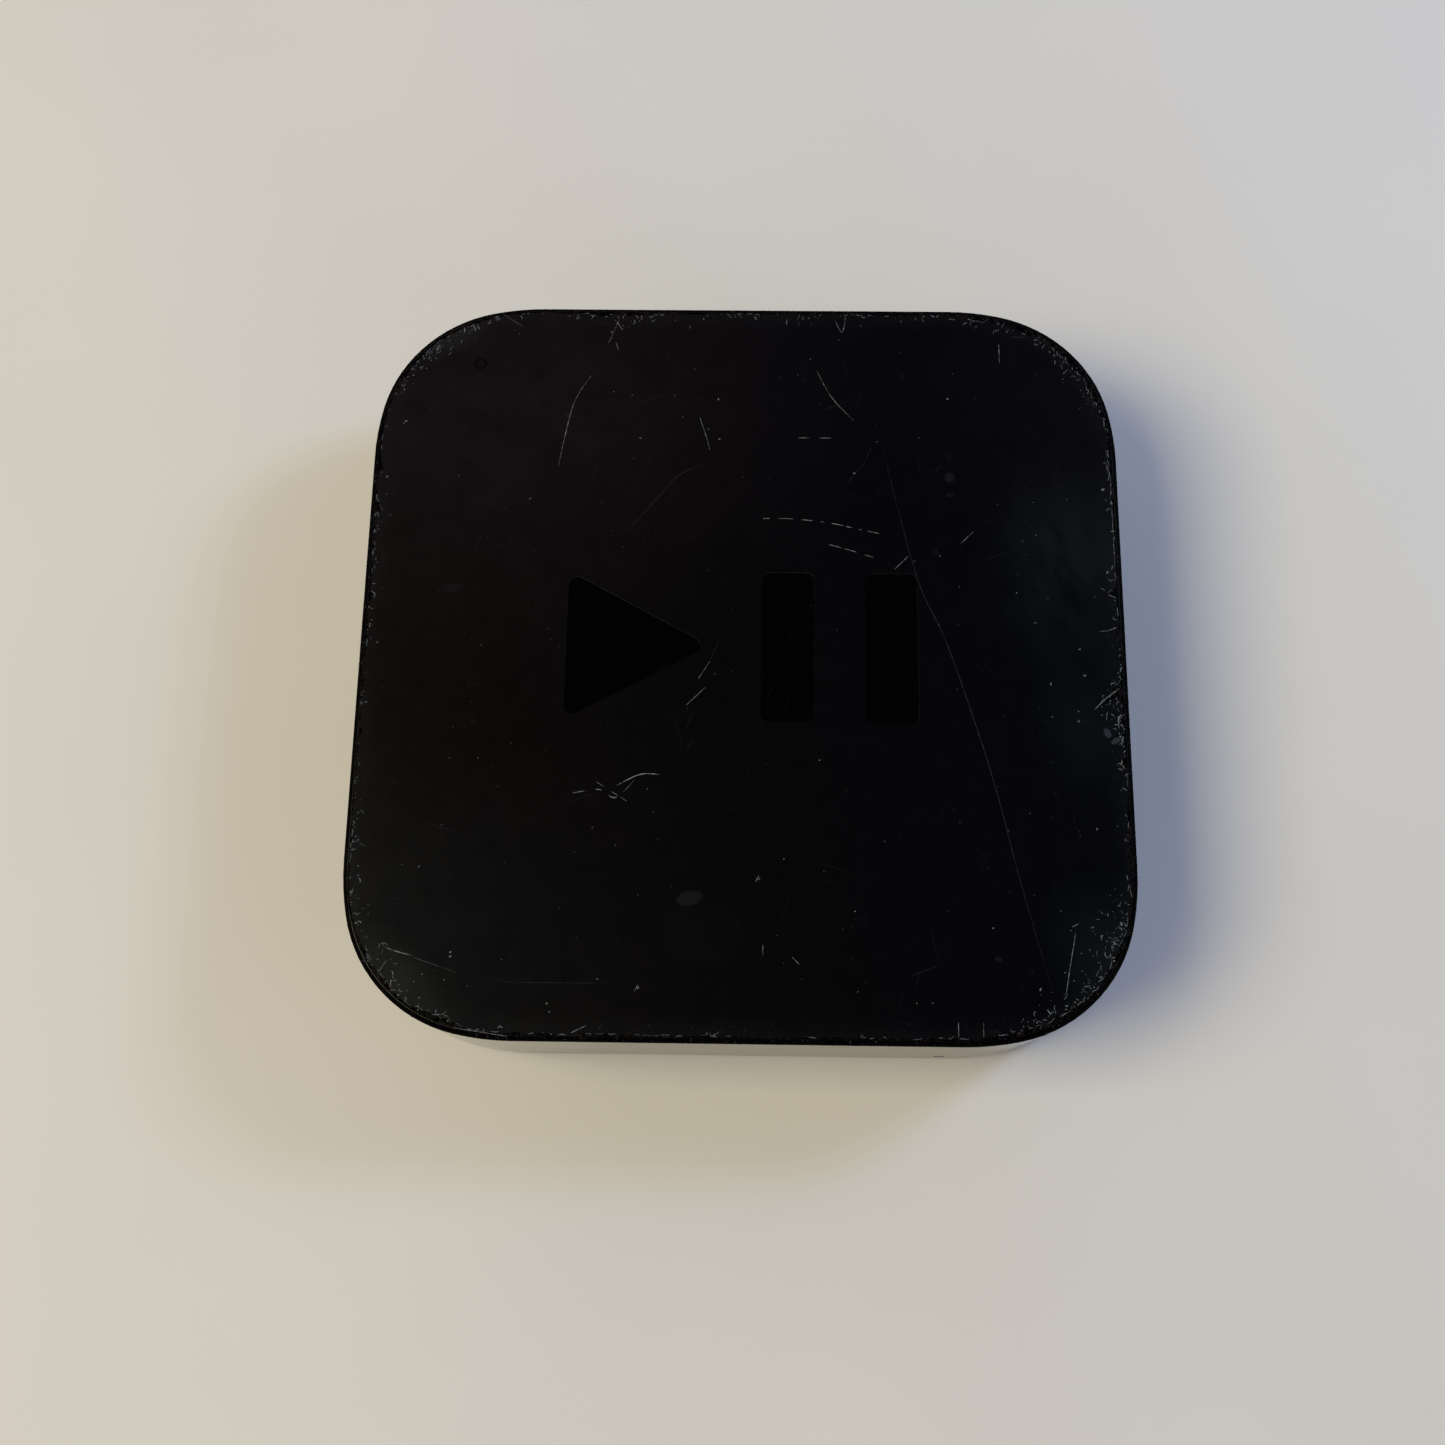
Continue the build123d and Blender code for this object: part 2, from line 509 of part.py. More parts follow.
with BuildPart() as fuse:
    with Locations(along_x(*FUSE_PLACE, FUSE_Z)):
        Cylinder(FUSE_RADIUS, FUSE_LENGTH)
    cap_offset = (FUSE_LENGTH - FUSE_CAP_LENGTH) / 2
    with Locations(*[along_x(FUSE_PLACE[0] + side * cap_offset, FUSE_PLACE[1], FUSE_Z) for side in (-1, 1)]):
        Cylinder(FUSE_CAP_RADIUS, FUSE_CAP_LENGTH)

with BuildPart() as line_choke:
    with Locations((*CHOKE_PLACE, SUPPLY_TOP + CHOKE_COIL + 0.05)):
        Torus(CHOKE_RADIUS, CHOKE_COIL)

with BuildPart() as line_capacitor:
    with Locations((*LINE_CAPACITOR_PLACE, SUPPLY_TOP)):
        Box(*LINE_CAPACITOR_SIZE, align=ON_TOP)
    fillet(line_capacitor.edges().filter_by(Axis.Z), radius=0.6)

with BuildPart() as rectifier:
    with Locations((*RECTIFIER_PLACE, SUPPLY_TOP)):
        Box(*RECTIFIER_SIZE, align=ON_TOP)
    chamfer(rectifier.edges().group_by(Axis.Z)[-1], length=0.3)

with BuildPart() as supply_heat_sink:
    sink_wide, sink_sheet, sink_tall = HEAT_SINK_SIZE
    with Locations((*HEAT_SINK_PLACE, SUPPLY_TOP)):
        Box(*HEAT_SINK_SIZE, align=ON_TOP)
        with GridLocations(sink_wide - sink_sheet, 0, 2, 1):
            Box(sink_sheet, HEAT_SINK_WING, sink_tall, align=(Align.CENTER, Align.MAX, Align.MIN))

with BuildPart() as power_transistor:
    with Locations((HEAT_SINK_PLACE[0], HEAT_SINK_PLACE[1] + HEAT_SINK_SIZE[1] / 2, SUPPLY_TOP + 1.0)):
        Box(*TRANSISTOR_SIZE, align=(Align.CENTER, Align.MIN, Align.MIN))

with BuildPart() as bulk_capacitors:
    with Locations(*[along_y(x, BULK_Y, SUPPLY_TOP + BULK_RADIUS + 0.05) for x in BULK_X]):
        Cylinder(BULK_RADIUS, BULK_LENGTH)
    fillet(bulk_capacitors.edges().group_by(Axis.Y)[-1], radius=0.8)
    fillet(bulk_capacitors.edges().group_by(Axis.Y)[0], radius=0.8)

transformer_middle = (*TRANSFORMER_PLACE, SUPPLY_TOP + WINDING_TALL / 2)
with BuildPart() as transformer_core:
    window_length, window_width = CORE_WINDOW
    with Locations(transformer_middle):
        Box(*CORE_SIZE)
        with GridLocations(0, CORE_LEG + window_width, 1, 2):
            Box(window_length, window_width, CORE_SIZE[2], mode=Mode.SUBTRACT)

with BuildPart() as transformer_winding:
    with Locations(transformer_middle):
        Box(WINDING_LENGTH, CORE_LEG + 2 * window_width - 0.2, WINDING_TALL)
    fillet(transformer_winding.edges().filter_by(Axis.X), radius=1.0)
    with Locations(transformer_middle):
        Box(WINDING_LENGTH, CORE_LEG + 0.2, CORE_SIZE[2] + 0.2, mode=Mode.SUBTRACT)

with BuildPart() as output_capacitors:
    with Locations(*[(x, OUTPUT_Y, SUPPLY_TOP) for x in OUTPUT_X]):
        Cylinder(OUTPUT_RADIUS, OUTPUT_HEIGHT, align=ON_TOP)
    fillet(output_capacitors.edges().group_by(Axis.Z)[-1], radius=0.5)

# low-voltage lead from the supply to the main board, three wires between two sockets
with BuildPart() as lead_sockets:
    with Locations((SUPPLY_SOCKET_X, LEAD_Y, SUPPLY_SOCKET_TOP)):
        Box(*LEAD_SOCKET, SUPPLY_SOCKET_TOP - SUPPLY_TOP, align=HANGING)
    with Locations((BOARD_SOCKET_X, LEAD_Y, BOARD_SOCKET_TOP)):
        Box(*LEAD_SOCKET, BOARD_SOCKET_TOP - BOARD_TOP, align=HANGING)

with BuildPart() as supply_lead:
    for wire in (-1, 0, 1):
        wire_y = LEAD_Y + wire * LEAD_PITCH
        with BuildLine() as route:
            FilletPolyline(
                (SUPPLY_SOCKET_X, wire_y, SUPPLY_SOCKET_TOP), (SUPPLY_SOCKET_X, wire_y, LEAD_TOP),
                (BOARD_SOCKET_X, wire_y, LEAD_TOP), (BOARD_SOCKET_X, wire_y, BOARD_SOCKET_TOP),
                radius=1.3,
            )
        with BuildSketch(Plane(route.line @ 0, z_dir=route.line % 0)):
            Circle(LEAD_RADIUS)
        sweep(path=route.line)

# ============================================================ power inlet, figure-of-eight
with BuildPart() as power_inlet:
    with BuildSketch(rear(PORT_FACE)):
        with Locations((POWER_X, POWER_Z)):
            add(power_outline())
    extrude(amount=POWER_DEPTH)
    # flange that rests behind the wall
    with BuildSketch(rear(45.6)):
        with Locations((POWER_X, POWER_Z)):
            RectangleRounded(POWER_WIDTH + 1.0, POWER_TALL + 2.4, 2.0)
    extrude(amount=1.4)
    with BuildSketch(rear(PORT_FACE)):
        with Locations((POWER_X, POWER_Z)):
            with GridLocations(PIN_PITCH, 0, 2, 1):
                Circle(LOBE_RADIUS)
            Rectangle(PIN_PITCH, 2 * LOBE_RADIUS - 1.6)
    extrude(amount=POWER_SOCKET_DEPTH, mode=Mode.SUBTRACT)
    with BuildSketch(rear(PORT_FACE)):
        with Locations((POWER_X, POWER_Z)):
            with GridLocations(PIN_PITCH, 0, 2, 1):
                Circle(PIN_RADIUS + 0.02)
    extrude(amount=POWER_DEPTH, mode=Mode.SUBTRACT)

with BuildPart() as power_pins:
    pin_front, pin_rear = PORT_FACE - 1.8, PORT_FACE - POWER_DEPTH - 2.4
    with BuildSketch(rear(pin_front)):
        with Locations((POWER_X, POWER_Z)):
            with GridLocations(PIN_PITCH, 0, 2, 1):
                Circle(PIN_RADIUS)
    extrude(amount=pin_front - pin_rear)
    chamfer(power_pins.edges().group_by(Axis.Y)[-1], length=0.5)
    # tails that turn down to the supply board
    with Locations((POWER_X, pin_rear + 0.5, POWER_Z)):
        with GridLocations(PIN_PITCH, 0, 2, 1):
            Box(1.6, 1.0, POWER_Z - SUPPLY_TOP, align=HANGING)

# ============================================================ video socket
with BuildPart() as video_port_shell:
    with BuildSketch(rear(PORT_FACE)):
        with Locations((VIDEO_X, VIDEO_Z)):
            add(video_outline(VIDEO_SHEET))
    extrude(amount=VIDEO_DEPTH)
    with BuildSketch(rear(PORT_FACE)):
        with Locations((VIDEO_X, VIDEO_Z)):
            add(video_outline())
    extrude(amount=VIDEO_DEPTH - VIDEO_SHEET, mode=Mode.SUBTRACT)
    # windows in the roof, beside the spring fingers
    with Locations((VIDEO_X, PORT_FACE - 5.0, VIDEO_Z + VIDEO_TALL / 2)):
        with GridLocations(7.2, 0, 2, 1):
            Box(1.8, 4.4, 2.0, mode=Mode.SUBTRACT)

with BuildPart() as video_port_tongue:
    video_back = PORT_FACE - VIDEO_DEPTH + VIDEO_SHEET
    with BuildSketch(rear(video_back + 1.6)):
        with Locations((VIDEO_X, VIDEO_Z)):
            add(video_outline(-0.05))
    extrude(amount=1.6)
    with BuildSketch(rear(VIDEO_TONGUE_FRONT)):
        with Locations((VIDEO_X, VIDEO_Z)):
            Rectangle(*VIDEO_TONGUE)
    extrude(amount=VIDEO_TONGUE_FRONT - video_back - 1.6)
    chamfer(video_port_tongue.edges().group_by(Axis.Y)[-1], length=0.2)

with BuildPart() as video_port_contacts:
    for count, side, way in ((10, 1, Align.MIN), (9, -1, Align.MAX)):
        with Locations((VIDEO_X, VIDEO_TONGUE_FRONT - 0.4, VIDEO_Z + side * VIDEO_TONGUE[1] / 2)):
            with GridLocations(1.0, 0, count, 1):
                Box(0.4, 5.2, 0.12, align=(Align.CENTER, Align.MAX, way))

# ============================================================ small service socket
with BuildPart() as service_port_shell:
    with BuildSketch(rear(PORT_FACE)):
        with Locations((SERVICE_X, SERVICE_Z)):
            add(service_outline(SERVICE_SHEET))
    extrude(amount=SERVICE_DEPTH)
    with BuildSketch(rear(PORT_FACE)):
        with Locations((SERVICE_X, SERVICE_Z)):
            add(service_outline())
    extrude(amount=SERVICE_DEPTH - SERVICE_SHEET, mode=Mode.SUBTRACT)

with BuildPart() as service_port_tongue:
    service_back = PORT_FACE - SERVICE_DEPTH + SERVICE_SHEET
    with BuildSketch(rear(service_back + 1.0)):
        with Locations((SERVICE_X, SERVICE_Z)):
            add(service_outline(-0.05))
    extrude(amount=1.0)
    with BuildSketch(rear(PORT_FACE - 0.9)):
        with Locations((SERVICE_X, SERVICE_Z + 0.35)):
            Rectangle(*SERVICE_TONGUE)
    extrude(amount=PORT_FACE - 0.9 - service_back - 1.0)

with BuildPart() as service_port_contacts:
    with Locations((SERVICE_X, PORT_FACE - 1.2, SERVICE_Z + 0.35 - SERVICE_TONGUE[1] / 2)):
        with GridLocations(0.65, 0, 5, 1):
            Box(0.3, 2.8, 0.1, align=(Align.CENTER, Align.MAX, Align.MAX))

# ============================================================ optical audio socket with its shutter
chamber_front = HINGE_Y + 0.1  # the shutter closes against the frame in front of the chamber
pocket_front = HINGE_Y + BARREL_RADIUS + 0.15
chamber_width = SHUTTER_WIDTH + 0.4
with BuildPart() as optical_housing:
    with BuildSketch(rear(PORT_FACE)):
        with Locations((OPTICAL_X, (OPTICAL_BOTTOM + OPTICAL_TOP) / 2)):
            RectangleRounded(OPTICAL_WIDTH, OPTICAL_TOP - OPTICAL_BOTTOM, 0.5)
    extrude(amount=PORT_FACE - OPTICAL_REAR)
    with BuildSketch(rear(PORT_FACE)):
        with Locations((OPTICAL_X, OPTICAL_MOUTH_BOTTOM)):
            add(optical_mouth())
    extrude(amount=PORT_FACE - chamber_front, mode=Mode.SUBTRACT)
    # chamber that the shutter swings up into, and the pocket for its barrel
    for front, back, low in (
        (chamber_front, CHAMBER_REAR, CHAMBER_BOTTOM), (pocket_front, chamber_front - 0.5, HINGE_Z - 1.0),
    ):
        with Locations((OPTICAL_X, front, low)):
            Box(
                chamber_width, front - back, CHAMBER_TOP - low,
                align=(Align.CENTER, Align.MAX, Align.MIN), mode=Mode.SUBTRACT,
            )
    with Locations(along_x(OPTICAL_X, HINGE_Y, HINGE_Z)):
        Cylinder(HINGE_PIN_RADIUS + 0.01, OPTICAL_WIDTH + 2, mode=Mode.SUBTRACT)
    with Locations(along_y(OPTICAL_X, OPTICAL_REAR, EMITTER_Z)):
        Cylinder(1.6, 8, mode=Mode.SUBTRACT)

with BuildPart() as optical_emitter:
    with Locations((OPTICAL_X, OPTICAL_REAR, EMITTER_Z)):
        Box(8.0, 2.8, 8.0, align=(Align.CENTER, Align.MAX, Align.CENTER))
    with BuildSketch(rear(OPTICAL_REAR + 3.9)):
        with Locations((OPTICAL_X, EMITTER_Z)):
            Circle(1.5)
    extrude(amount=3.9)
    fillet(optical_emitter.edges().group_by(Axis.Y)[-1], radius=0.6)

with BuildPart() as optical_shutter:
    with BuildSketch(rear(HINGE_Y)):
        with Locations((OPTICAL_X, HINGE_Z - SHUTTER_LENGTH)):
            Rectangle(SHUTTER_WIDTH, SHUTTER_LENGTH, align=(Align.CENTER, Align.MIN))
    extrude(amount=SHUTTER_THICK)
    with Locations(along_x(OPTICAL_X, HINGE_Y, HINGE_Z)):
        Cylinder(BARREL_RADIUS, SHUTTER_WIDTH)
        Cylinder(HINGE_PIN_RADIUS + 0.06, SHUTTER_WIDTH, mode=Mode.SUBTRACT)
    # break for the spring, and a shallow recess in the front of the plate
    with Locations((OPTICAL_X, HINGE_Y, HINGE_Z + BARREL_RADIUS)):
        Box(SPRING_GAP, 4 * BARREL_RADIUS, 2 * BARREL_RADIUS + 0.2, align=HANGING, mode=Mode.SUBTRACT)
    with Locations((OPTICAL_X, HINGE_Y, HINGE_Z - SHUTTER_LENGTH / 2 - 0.7)):
        Box(5.2, 0.5, 5.2, mode=Mode.SUBTRACT)

with BuildPart() as shutter_pin:
    with Locations(along_x(OPTICAL_X, HINGE_Y, HINGE_Z)):
        Cylinder(HINGE_PIN_RADIUS, OPTICAL_WIDTH - 0.4)

with BuildPart() as shutter_spring:
    with BuildLine() as coil:
        Helix(
            pitch=SPRING_PITCH, height=SPRING_TURNS * SPRING_PITCH, radius=SPRING_RADIUS,
            center=(OPTICAL_X - SPRING_TURNS * SPRING_PITCH / 2, HINGE_Y, HINGE_Z), direction=(1, 0, 0),
        )
    start, end = coil.line @ 0, coil.line @ 1
    with BuildLine() as fixed_leg:
        Line(start, start + Vector(0, 0.75, 0))
    with BuildLine() as shutter_leg:
        FilletPolyline(end, end + Vector(0, -0.4, -0.8), end + Vector(0, -0.3, -3.1), radius=0.4)
    for route in (coil, fixed_leg, shutter_leg):
        with BuildSketch(Plane(route.line @ 0, z_dir=route.line % 0)):
            Circle(SPRING_WIRE)
        sweep(path=route.line, is_frenet=route is coil)

# ============================================================ network socket
shield_inner = (NETWORK_WIDTH - 2 * NETWORK_SHEET, NETWORK_TALL - 2 * NETWORK_SHEET)
with BuildPart() as network_jack_shield:
    with BuildSketch(rear(PORT_FACE)):
        with Locations((NETWORK_X, NETWORK_Z)):
            Rectangle(NETWORK_WIDTH, NETWORK_TALL)
    extrude(amount=NETWORK_DEPTH)
    with BuildSketch(rear(PORT_FACE - NETWORK_SHEET)):
        with Locations((NETWORK_X, NETWORK_Z)):
            Rectangle(*shield_inner)
    extrude(amount=NETWORK_DEPTH - 2 * NETWORK_SHEET, mode=Mode.SUBTRACT)
    # window in the front sheet, around the plug opening
    with BuildSketch(rear(PORT_FACE)):
        with Locations((NETWORK_X, NETWORK_Z + 0.2)):
            Rectangle(PLUG_WIDTH + 0.8, 9.6)
    extrude(amount=NETWORK_SHEET, mode=Mode.SUBTRACT)

with BuildPart() as network_jack_insert:
    insert_front = PORT_FACE - NETWORK_SHEET - 0.05
    with BuildSketch(rear(insert_front)):
        with Locations((NETWORK_X, NETWORK_Z)):
            Rectangle(shield_inner[0] - 0.1, shield_inner[1] - 0.1)
    extrude(amount=NETWORK_DEPTH - 2 * NETWORK_SHEET - 0.1)
    # plug opening, with the notch for the plug's latch below it
    with BuildSketch(rear(insert_front)):
        with Locations((NETWORK_X, PLUG_TOP)):
            Rectangle(PLUG_WIDTH, PLUG_TALL, align=(Align.CENTER, Align.MAX))
        with Locations((NETWORK_X, PLUG_TOP - PLUG_TALL)):
            Rectangle(LATCH_WIDTH, LATCH_TALL, align=(Align.CENTER, Align.MAX))
    extrude(amount=PLUG_DEPTH, mode=Mode.SUBTRACT)

with BuildPart() as network_jack_contacts:
    # eight wires that slope down from the roof of the opening towards its back
    for wire in range(8):
        wire_x = NETWORK_X + (wire - 3.5) * CONTACT_PITCH
        with BuildSketch(Plane.YZ.offset(wire_x)):
            with BuildLine():
                Polyline(
                    (46.6, PLUG_TOP), (45.8, PLUG_TOP), (37.4, PLUG_TOP - 2.3),
                    (37.4, PLUG_TOP - 2.65), (46.6, PLUG_TOP - 0.35), close=True,
                )
            make_face()
        extrude(amount=0.2, both=True)

# ============================================================ front board: status light and receiver
with BuildPart() as front_board:
    with Locations((FRONT_BOARD_X[0], FRONT_BOARD_REAR, FRONT_BOARD_Z[0])):
        Box(
            FRONT_BOARD_X[1] - FRONT_BOARD_X[0], FRONT_BOARD_REAR - FRONT_BOARD_FRONT,
            FRONT_BOARD_Z[1] - FRONT_BOARD_Z[0], align=(Align.MIN, Align.MAX, Align.MIN),
        )

with BuildPart() as status_light:
    with Locations((LIGHT_X, FRONT_BOARD_FRONT, LIGHT_Z)):
        Box(1.6, 0.6, 0.8, align=(Align.CENTER, Align.MAX, Align.CENTER))

with BuildPart() as light_pipe:
    with BuildSketch(rear(-45.35)):
        with Locations((LIGHT_X, LIGHT_Z)):
            Circle(LIGHT_RADIUS)
    extrude(amount=WIDTH / 2 - 0.05 - 45.35)
    with BuildSketch(rear(-46.3)):
        with Locations((LIGHT_X, LIGHT_Z)):
            Circle(LIGHT_RADIUS + 0.8)
    extrude(amount=0.6)

with BuildPart() as infrared_receiver:
    with Locations((RECEIVER_X, FRONT_BOARD_FRONT, RECEIVER_Z)):
        Box(*RECEIVER_SIZE, align=(Align.CENTER, Align.MAX, Align.CENTER))
    with Locations((RECEIVER_X, FRONT_BOARD_FRONT - RECEIVER_LENS, RECEIVER_Z)):
        Sphere(RECEIVER_LENS)

with BuildPart() as ribbon_sockets:
    with Locations((RIBBON_X, FRONT_BOARD_REAR, RIBBON_START[1])):
        Box(7, RIBBON_START[0] - FRONT_BOARD_REAR, 2, align=(Align.CENTER, Align.MIN, Align.CENTER))
    with Locations((RIBBON_X, RIBBON_END[0], BOARD_TOP)):
        Box(7, 2.4, 1.3, align=(Align.CENTER, Align.MIN, Align.MIN))

with BuildPart() as front_ribbon:
    with BuildLine(Plane.YZ.offset(RIBBON_X)) as ribbon_route:
        FilletPolyline(RIBBON_START, (-40.2, RIBBON_START[1]), (-38.9, RIBBON_END[1]), RIBBON_END, radius=0.8)
    with BuildSketch(Plane(ribbon_route.line @ 0, x_dir=(1, 0, 0), z_dir=ribbon_route.line % 0)):
        Rectangle(RIBBON_WIDTH, RIBBON_THICK)
    sweep(path=ribbon_route.line)

# ============================================================ antennas
with BuildPart() as side_antenna:
    with Locations((-ANTENNA_FACE, 0, ANTENNA_Z[0])):
        Box(
            ANTENNA_FACE - ANTENNA_BACK, SIDE_ANTENNA_LENGTH, ANTENNA_Z[1] - ANTENNA_Z[0],
            align=(Align.MIN, Align.CENTER, Align.MIN),
        )
    with Locations((-ANTENNA_FACE, 3, SLOT_Z)):
        Box(4, SIDE_ANTENNA_LENGTH - 8, SLOT_TALL, mode=Mode.SUBTRACT)

with BuildPart() as front_antenna:
    with Locations((FRONT_ANTENNA_X, -ANTENNA_FACE, ANTENNA_Z[0])):
        Box(
            FRONT_ANTENNA_LENGTH, ANTENNA_FACE - ANTENNA_BACK, ANTENNA_Z[1] - ANTENNA_Z[0],
            align=(Align.CENTER, Align.MIN, Align.MIN),
        )
    with Locations((FRONT_ANTENNA_X + 3, -ANTENNA_FACE, SLOT_Z)):
        Box(FRONT_ANTENNA_LENGTH - 8, 4, SLOT_TALL, mode=Mode.SUBTRACT)

with BuildPart() as antenna_sockets:
    with Locations(*[(x, y, BOARD_TOP) for x, y in COAX_SOCKETS]):
        Cylinder(COAX_RADIUS, COAX_HEIGHT, align=ON_TOP)

with BuildPart() as antenna_leads:
    for points, bend in (
        ([(-39.8, -24.0), (-43.2, -24.0), (-43.2, -10.0), (-ANTENNA_BACK, -10.0)], 0.95),
        ([(-30.0, -33.7), (-30.0, -40.0), (-24.0, -42.0), (-24.0, -ANTENNA_BACK)], 2.0),
    ):
        with BuildLine() as route:
            FilletPolyline(*[(x, y, COAX_LEAD_Z) for x, y in points], radius=bend)
        with BuildSketch(Plane(route.line @ 0, z_dir=route.line % 0)):
            Circle(COAX_LEAD_RADIUS)
        sweep(path=route.line)

# ============================================================ one file for each piece
pieces = {
    "upper_case": upper_case, "bottom_cover": bottom_cover, "rubber_foot": rubber_foot,
    "ballast_plate": ballast_plate, "heat_spreader": heat_spreader, "spreader_tape": spreader_tape,
    "thermal_pad": thermal_pad, "main_board": main_board, "processor": processor,
    "memory_chip": memory_chip, "flash_chip": flash_chip, "power_manager_chip": power_manager_chip,
    "wireless_module": wireless_module, "shield_can": shield_can, "network_transformer": network_transformer,
    "crystal": crystal, "board_inductors": board_inductors, "board_capacitors": board_capacitors,
    "board_screws": board_screws, "supply_board": supply_board, "supply_screws": supply_screws,
    "supply_film": supply_film, "fuse": fuse, "line_choke": line_choke, "line_capacitor": line_capacitor,
    "rectifier": rectifier, "supply_heat_sink": supply_heat_sink, "power_transistor": power_transistor,
    "bulk_capacitors": bulk_capacitors, "transformer_core": transformer_core,
    "transformer_winding": transformer_winding, "output_capacitors": output_capacitors,
    "lead_sockets": lead_sockets, "supply_lead": supply_lead, "power_inlet": power_inlet,
    "power_pins": power_pins, "video_port_shell": video_port_shell, "video_port_tongue": video_port_tongue,
    "video_port_contacts": video_port_contacts, "service_port_shell": service_port_shell,
    "service_port_tongue": service_port_tongue, "service_port_contacts": service_port_contacts,
    "optical_housing": optical_housing, "optical_emitter": optical_emitter,
    "optical_shutter": optical_shutter, "shutter_pin": shutter_pin, "shutter_spring": shutter_spring,
    "network_jack_shield": network_jack_shield, "network_jack_insert": network_jack_insert,
    "network_jack_contacts": network_jack_contacts, "front_board": front_board,
    "status_light": status_light, "light_pipe": light_pipe, "infrared_receiver": infrared_receiver,
    "ribbon_sockets": ribbon_sockets, "front_ribbon": front_ribbon, "side_antenna": side_antenna,
    "front_antenna": front_antenna, "antenna_sockets": antenna_sockets, "antenna_leads": antenna_leads,
}
os.makedirs("parts", exist_ok=True)
for name, piece in pieces.items():
    piece.part.label = name
    export_step(piece.part, f"parts/{name}.step")
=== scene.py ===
"""Looks for the streaming media player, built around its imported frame.

The frame is in metres: +Z up, the front wall faces -Y, the sockets face +Y. Sizes here are in
millimetres, as they are on the object, and MM turns them into metres where geometry is made.
"""

import math
import random
import bpy
import bmesh
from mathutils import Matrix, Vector, noise


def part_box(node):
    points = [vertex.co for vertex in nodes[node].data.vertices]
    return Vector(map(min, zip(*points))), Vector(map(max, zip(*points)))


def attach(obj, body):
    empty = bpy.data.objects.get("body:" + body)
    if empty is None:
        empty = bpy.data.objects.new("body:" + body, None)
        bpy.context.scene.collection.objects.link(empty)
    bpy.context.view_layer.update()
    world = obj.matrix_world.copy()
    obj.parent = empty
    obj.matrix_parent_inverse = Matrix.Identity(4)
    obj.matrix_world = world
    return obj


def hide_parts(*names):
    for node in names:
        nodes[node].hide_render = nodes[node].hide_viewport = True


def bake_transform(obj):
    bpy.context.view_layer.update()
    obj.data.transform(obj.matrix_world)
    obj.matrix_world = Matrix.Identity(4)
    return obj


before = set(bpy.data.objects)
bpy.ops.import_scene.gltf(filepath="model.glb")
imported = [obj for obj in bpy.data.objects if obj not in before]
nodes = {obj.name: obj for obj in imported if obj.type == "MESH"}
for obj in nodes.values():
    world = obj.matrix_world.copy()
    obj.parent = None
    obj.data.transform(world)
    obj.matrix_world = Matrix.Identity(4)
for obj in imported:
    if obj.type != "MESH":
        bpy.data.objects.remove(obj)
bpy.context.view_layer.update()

MM = 0.001
_, case_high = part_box("upper_case")
TOP = case_high.z / MM
HALF = case_high.x / MM
CORNER = 21.86  # how far each eased corner reaches along its sides
FLAT = HALF - CORNER
SQUARENESS = 2.284  # exponent of the corner's outline
RIM = 0.7  # polished round between the top face and the walls
UP = 0.99  # a face whose normal rises more than this is level
MARK_ZONE = 0.2  # the sunken mark is shallower than this
BURIED = 0.004  # how far below the top face its chips and scratches start

# Places on the outline where the coat is rubbed away further in: x, y, spread, extra width.
WEAR_SPOTS = [
    (34, 45, 8, 0.4), (41.5, 39, 7, 0.65), (46, 30, 6, 0.3), (49, -6, 4, 0.2), (47, -27, 5, 0.3),
    (44, -37, 6, 0.35), (36, -46, 6, 0.3), (-43, -40, 5, 0.4), (-37, -46, 4, 0.35), (-42, 42, 8, 0.2),
    (-18, 49, 5, 0.25),
]
# Single bites out of the coat's edge, likewise: x, y, spread, extra width.
BITES = [
    (49, 9, 0.5, 1.5), (49, 3.5, 0.4, 0.8), (49, -4.5, 0.9, 0.9), (49, -8.5, 0.5, 0.6), (49, 25, 0.5, 0.5),
    (49, -14, 0.7, 0.7), (-49, 26, 0.6, 0.7), (-49, 20, 0.7, 0.8), (-49, 7.5, 0.6, 0.7), (-49, -11, 0.5, 0.5),
]
WEAR_WIDTH = 0.88  # how wide the wear is elsewhere on average, rim included
# Places where the coat is scuffed inside its edge: x, y, spread, strength.
SCUFF_SPOTS = [
    (45, -37, 7, 0.8), (38, -45, 5, 0.5), (43, 39, 6, 0.5), (34, 46, 5, 0.3), (48, -7, 4, 0.6),
    (49, 10, 7, 0.15), (-42, -41, 5, 0.4), (-47, -34, 4, 0.4), (-49, -22, 7, 0.25), (-44, 41, 4, 0.6),
    (-37, 46, 4, 0.4), (-14, 49, 8, 0.25), (8, 49, 8, 0.2), (-49, 10, 9, 0.15),
]


def pull(x, y, spots):
    """The sum of the spots' strengths at a point, each fading with distance."""
    total = 0.0
    for spot_x, spot_y, spread, gain in spots:
        total += gain * math.exp(-((x - spot_x) ** 2 + (y - spot_y) ** 2) / spread**2)
    return total


def inset(x, y):
    """How far a point lies inside the outline of the plan."""
    reach_x = max(abs(x) - FLAT, 0.0)
    reach_y = max(abs(y) - FLAT, 0.0)
    return CORNER - (reach_x**SQUARENESS + reach_y**SQUARENESS) ** (1 / SQUARENESS)


# ------------------------------------------------------------ camera, lights and sky
CAMERA_PLACE = (1.0, -64.0, 222.5)
CAMERA_TURN = (15.38, 0.72, 0.84)  # degrees; with no turn a camera looks straight down
CAMERA_LENS = 40.9

camera_data = bpy.data.cameras.new("camera")
camera_data.lens = CAMERA_LENS
camera_data.clip_start = 0.01
camera = bpy.data.objects.new("camera", camera_data)
camera.location = Vector(CAMERA_PLACE) * MM
camera.rotation_euler = [math.radians(angle) for angle in CAMERA_TURN]
bpy.context.scene.collection.objects.link(camera)
bpy.context.scene.camera = camera
bpy.context.scene.view_settings.view_transform = "Standard"


